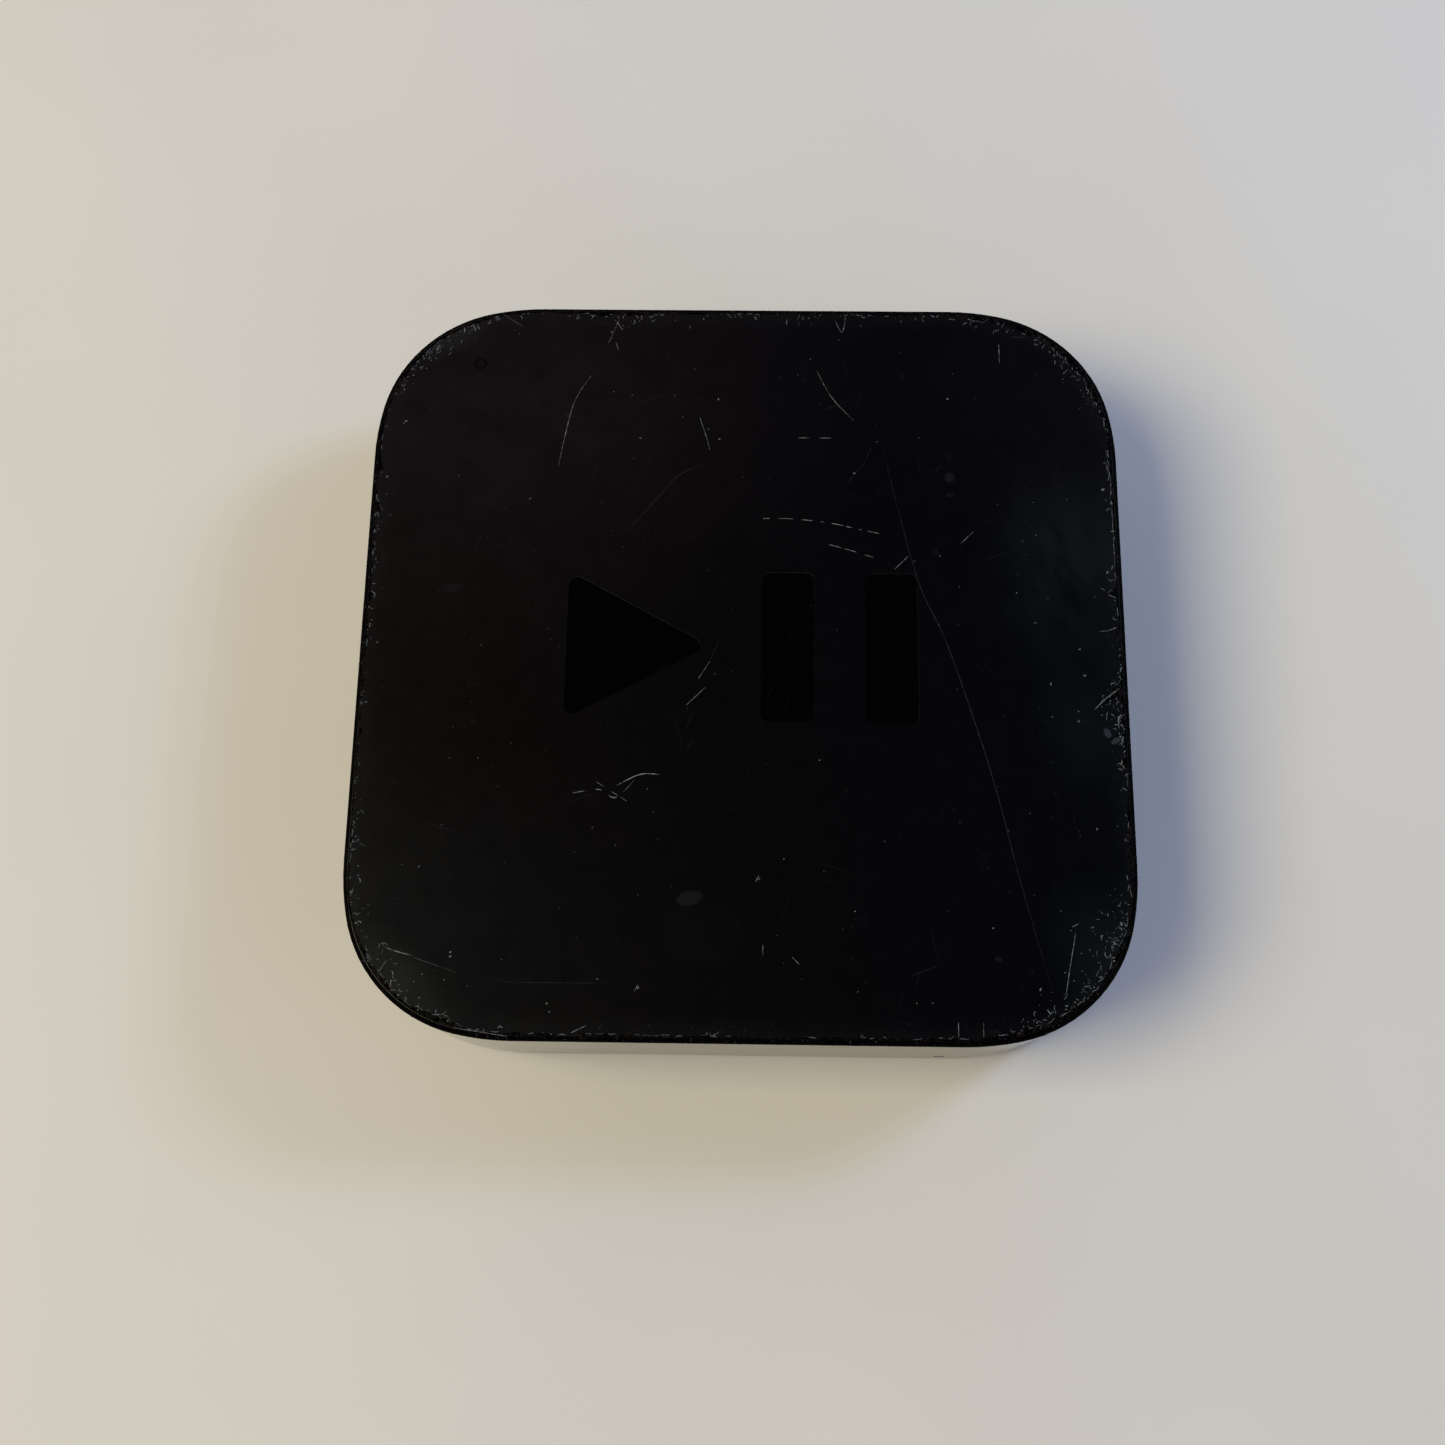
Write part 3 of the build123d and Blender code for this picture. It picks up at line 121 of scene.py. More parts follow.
def soft_light(name, direction, distance, size, power, colour):
    """A square area light aimed at the object; its distance and size are in metres."""
    data = bpy.data.lights.new(name, "AREA")
    data.shape = "SQUARE"
    data.size = size
    data.energy = power
    data.color = colour
    light = bpy.data.objects.new(name, data)
    light.location = Vector(direction).normalized() * distance
    light.rotation_euler = (-light.location).to_track_quat("-Z", "Y").to_euler()
    bpy.context.scene.collection.objects.link(light)


soft_light("warm_light", (-0.61, -0.13, 0.78), 1.1, 0.55, 8.75, (1.0, 0.885, 0.58))
soft_light("cool_light", (0.685, 0.346, 0.64), 0.575, 0.12, 1.0, (0.475, 0.68, 1.0))

world = bpy.data.worlds.new("studio")
world.use_nodes = True
bpy.context.scene.world = world


class Nodes:
    """Adds nodes to a tree in short calls. Most return one socket, and places are in millimetres."""

    def __init__(self, tree):
        self.tree = tree

    def feed(self, socket, value):
        if isinstance(value, bpy.types.NodeSocket):
            self.tree.links.new(value, socket)
        else:
            socket.default_value = value

    def add(self, kind, inputs, **settings):
        made = self.tree.nodes.new("ShaderNode" + kind)
        for name, value in settings.items():
            setattr(made, name, value)
        for name, value in inputs.items():
            self.feed(made.inputs[name], value)
        return made.outputs

    def calc(self, operation, *values):
        return self.add("Math", dict(enumerate(values)), operation=operation)[0]

    def plus(self, *values):
        total = values[0]
        for value in values[1:]:
            total = self.calc("ADD", total, value)
        return total

    def times(self, *values):
        total = values[0]
        for value in values[1:]:
            total = self.calc("MULTIPLY", total, value)
        return total

    def ramp(self, value, start, end):
        """0 at start and 1 at end, with a smooth step between; start may be above end."""
        low, high = min(start, end), max(start, end)
        ends = (0.0, 1.0) if start < end else (1.0, 0.0)
        inputs = {"Value": value, "From Min": low, "From Max": high, "To Min": ends[0], "To Max": ends[1]}
        return self.add("MapRange", inputs, interpolation_type="SMOOTHSTEP")[0]

    def mix(self, factor, first, second):
        """Colours mixed by a factor: a socket or a red, green, blue tuple each."""
        first, second = [(*c, 1.0) if isinstance(c, tuple) else c for c in (first, second)]
        return self.add("Mix", {0: factor, 6: first, 7: second}, data_type="RGBA")[2]

    def between(self, factor, low, high):
        """A number that runs from low to high as the factor runs from 0 to 1."""
        return self.plus(self.times(factor, high - low), low)

    def place(self):
        """The point on the surface, in millimetres."""
        point = self.add("TexCoord", {})["Object"]
        return self.add("VectorMath", {0: point, "Scale": 1 / MM}, operation="SCALE")[0]

    def stretched(self, place, scale, turn=0.0):
        """The place in axes turned about Z by some degrees, and then scaled along each of them."""
        sizes = [1 / factor for factor in scale]
        inputs = {"Vector": place, "Rotation": (0, 0, math.radians(turn)), "Scale": sizes}
        return self.add("Mapping", inputs, vector_type="TEXTURE")[0]

    def grain(self, place, scale, detail=2.0, roughness=0.5):
        """Noise from 0 to 1, with this many features to the millimetre."""
        inputs = {"Vector": place, "Scale": scale, "Detail": detail, "Roughness": roughness}
        return self.add("TexNoise", inputs)["Fac"]

    def cells(self, place, scale):
        """Random cells, with this many to the millimetre: each one's colour and distance from its middle."""
        return self.add("TexVoronoi", {"Vector": place, "Scale": scale})

    def distance(self, place, x, y):
        """How far a place on the top is from a point of it."""
        moved = self.add("VectorMath", {0: place, 1: (x, y, TOP)}, operation="SUBTRACT")[0]
        return self.add("VectorMath", {0: moved}, operation="LENGTH")["Value"]


def world_sky():
    """Dark overhead and pale towards the horizon, like a room with windows."""
    maker = Nodes(world.node_tree)
    direction = maker.add("TexCoord", {})["Generated"]
    height = maker.add("SeparateXYZ", {0: direction})["Z"]
    sky = maker.mix(maker.ramp(height, 0.12, 0.95), (0.73, 0.68, 0.85), (0.012, 0.012, 0.015))
    background = world.node_tree.nodes["Background"]
    maker.feed(background.inputs["Color"], sky)
    background.inputs["Strength"].default_value = 0.95


world_sky()


def new_material(name, colour, roughness, metallic=0.0, specular=0.5):
    """A material whose shader has these values, and the maker of its nodes."""
    material = bpy.data.materials.new(name)
    material.use_nodes = True
    maker = Nodes(material.node_tree)
    shader = material.node_tree.nodes["Principled BSDF"]
    shader.inputs["Base Color"].default_value = (*colour, 1.0)
    shader.inputs["Roughness"].default_value = roughness
    shader.inputs["Metallic"].default_value = metallic
    shader.inputs["Specular IOR Level"].default_value = specular
    return material, maker, shader


def bumped(maker, shader, height, strength, depth=0.05):
    """Raises the surface by a height socket; depth is in millimetres."""
    inputs = {"Height": height, "Strength": strength, "Distance": depth * MM}
    maker.feed(shader.inputs["Normal"], maker.add("Bump", inputs)[0])


def edge_distance(maker, place):
    """A socket for the distance in from the outline of the plan."""
    x, y, _ = maker.add("SeparateXYZ", {0: place})
    reach = []
    for along in (x, y):
        past = maker.calc("MAXIMUM", maker.calc("SUBTRACT", maker.calc("ABSOLUTE", along), FLAT), 0.0)
        reach.append(maker.calc("POWER", past, SQUARENESS))
    radius = maker.calc("POWER", maker.plus(*reach), 1 / SQUARENESS)
    return maker.calc("SUBTRACT", CORNER, radius)


def nearness(maker, place, x, y, reach_x, reach_y, turn=0.0):
    """A socket that falls smoothly from 1 at a point of the top to 0 at an oval's edge."""
    moved = maker.add("VectorMath", {0: place, 1: (x, y, TOP)}, operation="SUBTRACT")[0]
    oval = maker.stretched(moved, (1 / reach_x, 1 / reach_y, 1.0), turn)
    away = maker.add("VectorMath", {0: oval}, operation="LENGTH")["Value"]
    return maker.ramp(away, 1.0, 0.0)


# Smudges on the top: x, y, half length, half width, turn in degrees, strength.
SMUDGES = [
    (-6, -31.5, 1.7, 0.9, 12, 0.9), (-4.5, -36, 5, 4, 0, 0.12), (27, 24.5, 0.7, 0.7, 0, 1.0),
    (27, 22, 0.6, 0.35, 10, 0.7), (27, 27.5, 0.5, 0.7, 0, 0.3), (-37.5, 8.5, 1.1, 0.6, 20, 0.4),
    (31.5, -38.5, 0.5, 0.35, 160, 0.8), (15, -34, 1.0, 0.8, 0, 0.15), (25, 14, 0.5, 0.4, 20, 0.5),
    (46, -10, 0.65, 0.4, 120, 5), (47, -11, 0.65, 0.35, 35, 5),
]
# Broad changes of the coat's tone: x, y, half length, half width, turn, strength, colour. The first four are
# painted sheen of the lights, warm at the rear left and bluish elsewhere; the last two are paler patches at
# the left corners.
SHEEN_AND_TONE_PATCHES = [
    (-34, 34, 60, 44, 20, 0.6, (0.0115, 0.0076, 0.0095)),
    (40, 38, 30, 24, 0, 0.5, (0.0034, 0.0025, 0.0054)),
    (-40, -38, 34, 28, 0, 0.9, (0.0006, 0.0014, 0.0036)),
    (45, -38, 9, 12, 20, 0.8, (0.0045, 0.0080, 0.0105)),
    (-41, -42, 10, 5, 135, 0.5, (0.017, 0.018, 0.016)),
    (-39.5, 44.5, 7, 3.5, 30, 0.7, (0.016, 0.017, 0.0165)),
]
# Wiped haze at the right: x, y, half length, half width, strength.
HAZES = [(42, 13, 13, 19, 0.8), (43, -9, 8, 12, 0.35)]
# The ring left by a drop near the rear left corner.
DROP_PLACE = (-35.5, 40.5)
DROP_RADIUS = 0.7
# Lanes of fine scratches in the coat: direction in degrees, and a shift that keeps each lane's own.
SCUFF_LANES = ((8, 0), (62, 31), (118, 57), (155, 83))
HAIR_LANES = ((22, 5), (71, 47), (104, 13), (163, 91))


def streaks(maker, place, lanes, scale, sharpness):
    """Thin scratches: noise drawn out along each lane's direction and cut off near its peaks."""
    total = 0.0
    for turn, shift in lanes:
        moved = maker.add("VectorMath", {0: place, 1: (shift, shift / 2, 0)}, operation="ADD")[0]
        lane = maker.stretched(moved, scale, turn)
        total = maker.plus(total, maker.ramp(maker.grain(lane, 1.0, 2.0, 0.6), *sharpness))
    return total


def coat_scuffs(maker, place, near):
    """Short scuffs near the edge, where near is 1."""
    scuffs = streaks(maker, place, SCUFF_LANES, (0.55, 4.6, 1.0), (0.68, 0.75))
    return maker.times(scuffs, near, maker.ramp(maker.grain(place, 0.2, 2.0), 0.4, 0.65))


def coat_hairs(maker, place):
    """Hair-thin scratches in patches all over."""
    hairs = streaks(maker, place, HAIR_LANES, (0.06, 3.4, 1.0), (0.70, 0.75))
    return maker.times(hairs, maker.ramp(maker.grain(place, 0.09, 3.0), 0.45, 0.62))


def coat_dust(maker, place):
    """A small pale dot in some cells, at two scales."""
    dust = 0.0
    for scale, size in ((0.33, 0.03), (0.9, 0.05)):
        cell = maker.cells(place, scale)
        chosen = maker.ramp(maker.add("SeparateColor", {0: cell["Color"]})[0], 0.82, 0.88)
        dust = maker.plus(dust, maker.times(chosen, maker.ramp(cell["Distance"], size * 1.5, size * 0.6)))
    return dust


def coat_marks(maker, place):
    """Wiped haze and separate smudges."""
    swirl = maker.grain(maker.stretched(place, (0.30, 0.12, 1.0), 20), 0.6, 5.0, 0.6)
    haze = 0.0
    for x, y, reach_x, reach_y, strength in HAZES:
        haze = maker.plus(haze, maker.times(nearness(maker, place, x, y, reach_x, reach_y), strength))
    marks = maker.times(haze, maker.ramp(swirl, 0.25, 0.6))
    for x, y, length, breadth, turn, strength in SMUDGES:
        blotch = maker.ramp(nearness(maker, place, x, y, length * 1.4, breadth * 1.4, turn), 0.05, 0.45)
        uneven = maker.between(maker.grain(place, 1.6, 4.0), 0.3, 1.5)
        marks = maker.plus(marks, maker.times(blotch, uneven, strength))
    return marks


def coat_tone_and_painted_sheen(maker, place):
    """The coat's black with painted sheen of the lights: warmer at the left and bluer at the right, with
    broad clouds.
    """
    across = maker.add("SeparateXYZ", {0: place})["X"]
    # painted sheen: the warm light's at the left, the cool light's at the right
    coat = maker.mix(maker.ramp(across, -42, 36), (0.0019, 0.0013, 0.0014), (0.0008, 0.0010, 0.0022))
    cloud = maker.between(maker.grain(place, 0.2, 4.0), 0.4, 1.6)
    for x, y, reach_x, reach_y, turn, strength, tint in SHEEN_AND_TONE_PATCHES:
        patch = maker.times(nearness(maker, place, x, y, reach_x, reach_y, turn), strength, cloud)
        coat = maker.mix(patch, coat, tint)
    return maker.mix(maker.times(maker.grain(place, 0.06, 3.0), 0.4), coat, (0.0015, 0.0015, 0.0016))


def matte_coat():
    """Fine textured black coat on the top: hazy, scuffed near its edge, finely scratched and dusty."""
    material, maker, shader = new_material("matte_coat", (0.002, 0.002, 0.002), 0.27, specular=0.16)
    place = maker.place()
    inward = maker.plus(edge_distance(maker, place), maker.times(maker.grain(place, 0.25, 3.0), 2.5))
    near = maker.ramp(inward, 5.0, 1.6)
    scuffs = coat_scuffs(maker, place, near)
    marks = coat_marks(maker, place)
    off_ring = maker.calc("SUBTRACT", maker.distance(place, *DROP_PLACE), DROP_RADIUS)
    ring = maker.ramp(maker.calc("ABSOLUTE", off_ring), 0.22, 0.05)

    coat = maker.mix(maker.times(ring, 0.9), coat_tone_and_painted_sheen(maker, place), (0.0003, 0.0003, 0.0003))
    coat = maker.mix(maker.times(marks, 0.26), coat, (0.017, 0.020, 0.027))
    coat = maker.mix(maker.times(coat_hairs(maker, place), 0.09), coat, (0.09, 0.09, 0.1))
    coat = maker.mix(maker.times(coat_dust(maker, place), 0.3), coat, (0.13, 0.14, 0.15))
    coat = maker.mix(maker.times(near, 0.10), coat, (0.02, 0.022, 0.024))
    coat = maker.mix(maker.times(scuffs, 0.35), coat, (0.10, 0.11, 0.11))
    maker.feed(shader.inputs["Base Color"], coat)
    matte = maker.between(maker.grain(place, 0.3, 4.0), 0.24, 0.31)
    maker.feed(shader.inputs["Roughness"], maker.plus(matte, maker.times(marks, 0.08)))
    height = maker.plus(maker.times(maker.grain(place, 7.0, 2.0), 0.3), maker.times(scuffs, 0.5))
    bumped(maker, shader, height, 0.5, 0.03)
    return material


def polished_black(name, nick_rate, hairs=1.0, lane=(0.12, 0.12, 5.0), turn=0.0):
    """Gloss black moulding with wiping marks, hairlines drawn out along a lane, and small nicks."""
    material, maker, shader = new_material(name, (0.0004, 0.0004, 0.0005), 0.06)
    place = maker.place()
    wipe = maker.grain(maker.stretched(place, (0.12, 0.12, 0.5)), 1.0, 4.0, 0.6)
    hair = maker.ramp(maker.grain(maker.stretched(place, lane, turn), 1.0, 3.0, 0.6), 0.63, 0.71)
    hair = maker.times(hair, maker.ramp(maker.grain(place, 0.22, 2.0), 0.35, 0.6), hairs)
    cell = maker.cells(place, 0.9)
    chosen = maker.ramp(maker.add("SeparateColor", {0: cell["Color"]})[0], 1 - nick_rate, 1.04 - nick_rate)
    nicks = maker.times(chosen, maker.ramp(cell["Distance"], 0.16, 0.07))
    colour = maker.mix(maker.times(hair, 0.2), (0.0003, 0.0003, 0.0004), (0.05, 0.05, 0.055))
    colour = maker.mix(maker.times(nicks, 0.4), colour, (0.10, 0.11, 0.12))
    maker.feed(shader.inputs["Base Color"], colour)
    roughness = maker.plus(maker.between(maker.ramp(wipe, 0.35, 0.7), 0.035, 0.12), maker.times(nicks, 0.4))
    maker.feed(shader.inputs["Roughness"], maker.plus(roughness, maker.times(hair, 0.16)))
    height = maker.plus(maker.times(maker.grain(place, 0.25, 1.0), 0.3), maker.times(nicks, -1.0))
    bumped(maker, shader, height, 0.12, 0.05)
    return material


def worn_rim():
    """The rounded rim: dulled by handling, with patches of coat and small dents left on it."""
    material, maker, shader = new_material("worn_rim", (0.0006, 0.0006, 0.0007), 0.55, specular=0.04)
    shader.inputs["IOR"].default_value = 1.22
    place = maker.place()
    patch = maker.ramp(maker.grain(place, 0.9, 4.0, 0.65), 0.45, 0.6)
    fleck = maker.ramp(maker.grain(place, 2.6, 3.0, 0.6), 0.62, 0.7)
    colour = maker.mix(patch, (0.0003, 0.0003, 0.0004), (0.0016, 0.0014, 0.0013))
    maker.feed(shader.inputs["Base Color"], maker.mix(maker.times(fleck, 0.6), colour, (0.06, 0.06, 0.058)))
    maker.feed(shader.inputs["Roughness"], maker.between(patch, 0.4, 0.65))
    bumped(maker, shader, maker.plus(maker.times(patch, 0.5), maker.grain(place, 2.2, 3.0)), 0.7, 0.06)
    return material


def bare_plastic():
    """The case's own plastic where the coat is gone: black, rough in patches, brownish in places."""
    material, maker, shader = new_material("bare_plastic", (0.0006, 0.0005, 0.0005), 0.3, specular=0.05)
    place = maker.place()
    patch = maker.ramp(maker.grain(place, 1.4, 4.0, 0.7), 0.45, 0.62)
    brown = maker.times(patch, maker.ramp(maker.grain(place, 0.15, 2.0), 0.4, 0.6))
    colour = maker.mix(brown, (0.0005, 0.0005, 0.0006), (0.0085, 0.0042, 0.0036))
    maker.feed(shader.inputs["Base Color"], colour)
    maker.feed(shader.inputs["Roughness"], maker.between(patch, 0.15, 0.6))
    bumped(maker, shader, maker.plus(patch, maker.grain(place, 4.0, 3.0)), 0.5, 0.05)
    return material


def moulded(name, colour, roughness, grain=4.0, relief=0.25, specular=0.5):
    """Moulded, cast or coated surface: fine grain, with slight changes of tone and sheen."""
    material, maker, shader = new_material(name, colour, roughness, specular=specular)
    place = maker.place()
    cloud = maker.grain(place, 0.35, 4.0, 0.6)
    fine = maker.grain(place, grain, 3.0, 0.6)
    light = tuple(min(c * 1.35 + 0.004, 1.0) for c in colour)
    dark = tuple(c * 0.75 for c in colour)
    tone = maker.plus(maker.times(cloud, 0.7), maker.times(fine, 0.3))
    maker.feed(shader.inputs["Base Color"], maker.mix(tone, dark, light))
    maker.feed(shader.inputs["Roughness"], maker.between(cloud, roughness * 0.8, min(roughness * 1.2, 1.0)))
    bumped(maker, shader, fine, relief)
    return material


def metal(name, colour, roughness, lane=(0.3, 6.0, 6.0)):
    """Rolled or plated metal: brushed, along X unless the lane says otherwise, and tarnished."""
    material, maker, shader = new_material(name, colour, roughness, metallic=1.0)
    place = maker.place()
    brush = maker.grain(maker.stretched(place, lane), 1.0, 4.0, 0.65)
    tarnish = maker.grain(place, 0.5, 4.0, 0.65)
    dark = tuple(c * 0.75 for c in colour)
    maker.feed(shader.inputs["Base Color"], maker.mix(maker.ramp(tarnish, 0.2, 0.75), dark, colour))
    maker.feed(shader.inputs["Roughness"], maker.between(brush, roughness * 0.7, roughness * 1.5))
    bumped(maker, shader, brush, 0.15, 0.02)
    return material


def circuit_board():
    """Green-black solder resist over copper tracks, with pale pads."""
    material, maker, shader = new_material("circuit_board", (0.012, 0.045, 0.025), 0.35)
    place = maker.place()
    tracks = maker.add("TexBrick", {
        "Vector": place, "Scale": 0.45, "Mortar Size": 0.035, "Mortar Smooth": 0.1,
        "Color1": (0.0, 0.0, 0.0, 1.0), "Color2": (0.2, 0.2, 0.2, 1.0), "Mortar": (1.0, 1.0, 1.0, 1.0),
    })
    cell = maker.cells(place, 0.55)
    pads = maker.ramp(cell["Distance"], 0.2, 0.14)
    colour = maker.mix(maker.times(tracks["Color"], 0.6), (0.008, 0.032, 0.018), (0.03, 0.09, 0.04))
    maker.feed(shader.inputs["Base Color"], maker.mix(pads, colour, (0.5, 0.48, 0.42)))
    maker.feed(shader.inputs["Roughness"], maker.between(maker.grain(place, 2.0, 3.0), 0.25, 0.45))
    bumped(maker, shader, maker.plus(tracks["Fac"], pads), 0.3, 0.03)
    return material


def wound(name, colour, across):
    """Turns of wire or tape laid side by side along an axis of the frame, with painted shade in the grooves
    between turns.
    """
    material, maker, shader = new_material(name, colour, 0.35)
    place = maker.place()
    axis = maker.add("SeparateXYZ", {0: place})["XYZ".index(across)]
    turns = maker.calc("SINE", maker.plus(maker.times(axis, 9.0), maker.grain(place, 0.6, 2.0)))
    # painted shade: darker in the grooves between the turns
    shade = maker.between(turns, 0.75, 1.0)
    tint = maker.mix(shade, tuple(c * 0.45 for c in colour), colour)
    maker.feed(shader.inputs["Base Color"], tint)
    maker.feed(shader.inputs["Roughness"], maker.between(maker.grain(place, 3.0), 0.25, 0.5))
    bumped(maker, shader, turns, 0.4, 0.1)
    return material


def rubber_sole():
    """Soft black rubber, dusty, with a fine moulded grain and rub marks."""
    material, maker, shader = new_material("foot_rubber", (0.012, 0.012, 0.013), 0.75)
    place = maker.place()
    dust = maker.ramp(maker.grain(place, 0.18, 6.0, 0.7), 0.5, 0.75)
    rubs = maker.ramp(maker.grain(maker.stretched(place, (0.12, 2.5, 1.0), 35), 1.0, 3.0), 0.66, 0.76)
    colour = maker.mix(maker.times(dust, 0.5), (0.010, 0.010, 0.011), (0.11, 0.11, 0.105))
    maker.feed(shader.inputs["Base Color"], maker.mix(maker.times(rubs, 0.3), colour, (0.09, 0.09, 0.09)))
    maker.feed(shader.inputs["Roughness"], maker.between(dust, 0.6, 0.9))
    bumped(maker, shader, maker.grain(place, 5.0, 3.0), 0.35, 0.05)
    return material


def clear_lens(name, colour, transmission):
    """Clear or tinted moulding that lets light through, with faint flow marks."""
    material, maker, shader = new_material(name, colour, 0.12)
    place = maker.place()
    flow = maker.grain(maker.stretched(place, (2.0, 0.4, 2.0)), 1.0, 3.0)
    shader.inputs["Transmission Weight"].default_value = transmission
    maker.feed(shader.inputs["Base Color"], maker.mix(flow, tuple(c * 0.85 for c in colour), colour))
    maker.feed(shader.inputs["Roughness"], maker.between(flow, 0.06, 0.2))
    bumped(maker, shader, flow, 0.1, 0.02)
    return material


# ------------------------------------------------------------ materials of the frame's nodes
black_socket = moulded("socket_plastic", (0.010, 0.010, 0.011), 0.38, 5.0, 0.2)
package = moulded("chip_plastic", (0.016, 0.016, 0.017), 0.55, 6.0, 0.3)
tin = metal("tin_plate", (0.62, 0.62, 0.60), 0.28)
gold = metal("gold_plate", (0.80, 0.56, 0.22), 0.22)
nickel = metal("nickel_plate", (0.66, 0.64, 0.60), 0.2, (5.0, 0.4, 5.0))
sleeve = moulded("capacitor_sleeve", (0.012, 0.02, 0.045), 0.25, 1.5, 0.15)
board = circuit_board()
cable = moulded("lead_sleeve", (0.02, 0.02, 0.02), 0.5, 3.0, 0.2)
header = moulded("header_plastic", (0.62, 0.58, 0.46), 0.45, 4.0, 0.2)
ferrite = moulded("ferrite", (0.035, 0.036, 0.04), 0.6, 5.0, 0.5)
by_node = {
    "bottom_cover": moulded("cover_plastic", (0.0075, 0.0075, 0.008), 0.5, 7.0, 0.5),
    "rubber_foot": rubber_sole(),
    "ballast_plate": metal("zinc_plate", (0.52, 0.53, 0.54), 0.35),
    "heat_spreader": metal("rolled_aluminium", (0.76, 0.77, 0.78), 0.32),
    "spreader_tape": moulded("tape", (0.6, 0.6, 0.56), 0.6, 2.0, 0.2),
    "thermal_pad": moulded("gap_pad", (0.36, 0.46, 0.62), 0.8, 2.5, 0.3),
    "board_capacitors": moulded("ceramic_chip", (0.32, 0.22, 0.13), 0.5, 4.0, 0.3),
    "board_screws": metal("black_zinc", (0.18, 0.18, 0.19), 0.35),
    "supply_screws": metal("black_zinc_long", (0.18, 0.18, 0.19), 0.35),
    "supply_film": moulded("insulating_film", (0.03, 0.03, 0.032), 0.3, 1.0, 0.1),
    "fuse": moulded("fuse_body", (0.62, 0.6, 0.54), 0.4, 3.0, 0.2),
    "line_choke": wound("copper_turns", (0.58, 0.24, 0.09), "Z"),
    "line_capacitor": moulded("line_capacitor_case", (0.62, 0.42, 0.03), 0.3, 2.0, 0.1),
    "supply_heat_sink": metal("anodised_plate", (0.55, 0.55, 0.58), 0.4),
    "transformer_winding": wound("winding_tape", (0.62, 0.40, 0.05), "X"),
    "light_pipe": clear_lens("light_pipe_plastic", (0.55, 0.56, 0.58), 0.6),
    "status_light": clear_lens("status_light_lens", (0.85, 0.86, 0.8), 0.3),
    "infrared_receiver": clear_lens("receiver_plastic", (0.03, 0.008, 0.012), 0.1),
    "optical_emitter": clear_lens("emitter_plastic", (0.05, 0.012, 0.016), 0.1),
    "front_ribbon": moulded("ribbon_film", (0.6, 0.61, 0.64), 0.35, 1.0, 0.1),
    "shutter_spring": metal("spring_wire", (0.55, 0.55, 0.56), 0.25, (0.6, 0.6, 0.6)),
}
shared = {
    package: ["processor", "memory_chip", "flash_chip", "power_manager_chip", "wireless_module",
              "network_transformer", "rectifier", "power_transistor"],
    tin: ["shield_can", "crystal", "video_port_shell", "service_port_shell", "network_jack_shield"],
    gold: ["video_port_contacts", "service_port_contacts", "network_jack_contacts", "antenna_sockets"],
    nickel: ["power_pins", "shutter_pin"],
    black_socket: ["power_inlet", "video_port_tongue", "service_port_tongue", "optical_housing",
                   "optical_shutter", "network_jack_insert", "side_antenna", "front_antenna"],
    sleeve: ["bulk_capacitors", "output_capacitors"],
    board: ["main_board", "supply_board", "front_board"],
    cable: ["supply_lead", "antenna_leads"],
    header: ["lead_sockets", "ribbon_sockets"],
    ferrite: ["board_inductors", "transformer_core"],
}
for material, names in shared.items():
    for name in names:
        by_node[name] = material
for name, material in by_node.items():
    nodes[name].data.materials.clear()
    nodes[name].data.materials.append(material)

# ------------------------------------------------------------ the case's finishes
case_mesh = nodes["upper_case"].data
COAT, GLOSS, MARK, WORN_RIM, MARK_EDGE_HIGHLIGHT = range(5)
case_materials = [
    matte_coat(),
    polished_black("polished_case", 0.05),
    polished_black("polished_mark", 0.03, hairs=0.45, lane=(0.1, 3.5, 1.0), turn=62),
    worn_rim(),
    # pale grey walls of the sunken mark: painted highlight along the letters' edges
    moulded("mark_edge_highlight", (0.05, 0.052, 0.058), 0.6),
]
case_mesh.materials.clear()
for material in case_materials:
    case_mesh.materials.append(material)
COAT_LEVEL = TOP - 0.03  # the coat is above this, and the sunken mark's floor below
for face in case_mesh.polygons:
    height = face.center.z / MM
    if face.normal.z > UP and height > COAT_LEVEL:
        face.material_index = COAT
    elif face.normal.z > UP and height > TOP - MARK_ZONE:
        face.material_index = MARK
    elif face.normal.z > 0.05 and height > TOP - RIM:
        face.material_index = WORN_RIM
    else:
        face.material_index = GLOSS

mark_points = [
    case_mesh.vertices[index].co / MM
    for face in case_mesh.polygons if face.material_index == MARK for index in face.vertices
]
MARK_LOW_X, MARK_HIGH_X = min(p.x for p in mark_points), max(p.x for p in mark_points)
MARK_LOW_Y, MARK_HIGH_Y = min(p.y for p in mark_points), max(p.y for p in mark_points)
MARK_MARGIN = 0.01  # takes in the walls that stand on the mark's outline


def over_mark(x, y):
    """Whether a point lies over the box of the sunken mark."""
    along = MARK_LOW_X - MARK_MARGIN < x < MARK_HIGH_X + MARK_MARGIN
    return along and MARK_LOW_Y - MARK_MARGIN < y < MARK_HIGH_Y + MARK_MARGIN


# the walls on the sunken mark's outline take the painted highlight
for face in case_mesh.polygons:
    middle = face.center / MM
    if middle.z > TOP - MARK_ZONE and face.normal.z < UP and over_mark(middle.x, middle.y):
        face.material_index = MARK_EDGE_HIGHLIGHT

# ------------------------------------------------------------ scratches, chips and the torn edge
chance = random.Random(23)


def smooth_route(points, step):
    """Points about a step apart along a smooth curve through the given points."""
    ends = [points[0]] + list(points) + [points[-1]]
    route = []
    for before, start, end, after in zip(ends, ends[1:], ends[2:], ends[3:]):
        before, start, end, after = [Vector(p) for p in (before, start, end, after)]
        count = max(int((end - start).length / step), 1)
        for part in range(count):
            t = part / count
            route.append(0.5 * (
                2 * start + (end - before) * t + (2 * before - 5 * start + 4 * end - after) * t**2
                + (3 * start - before - 3 * end + after) * t**3
            ))
    route.append(Vector(points[-1]))
    return route


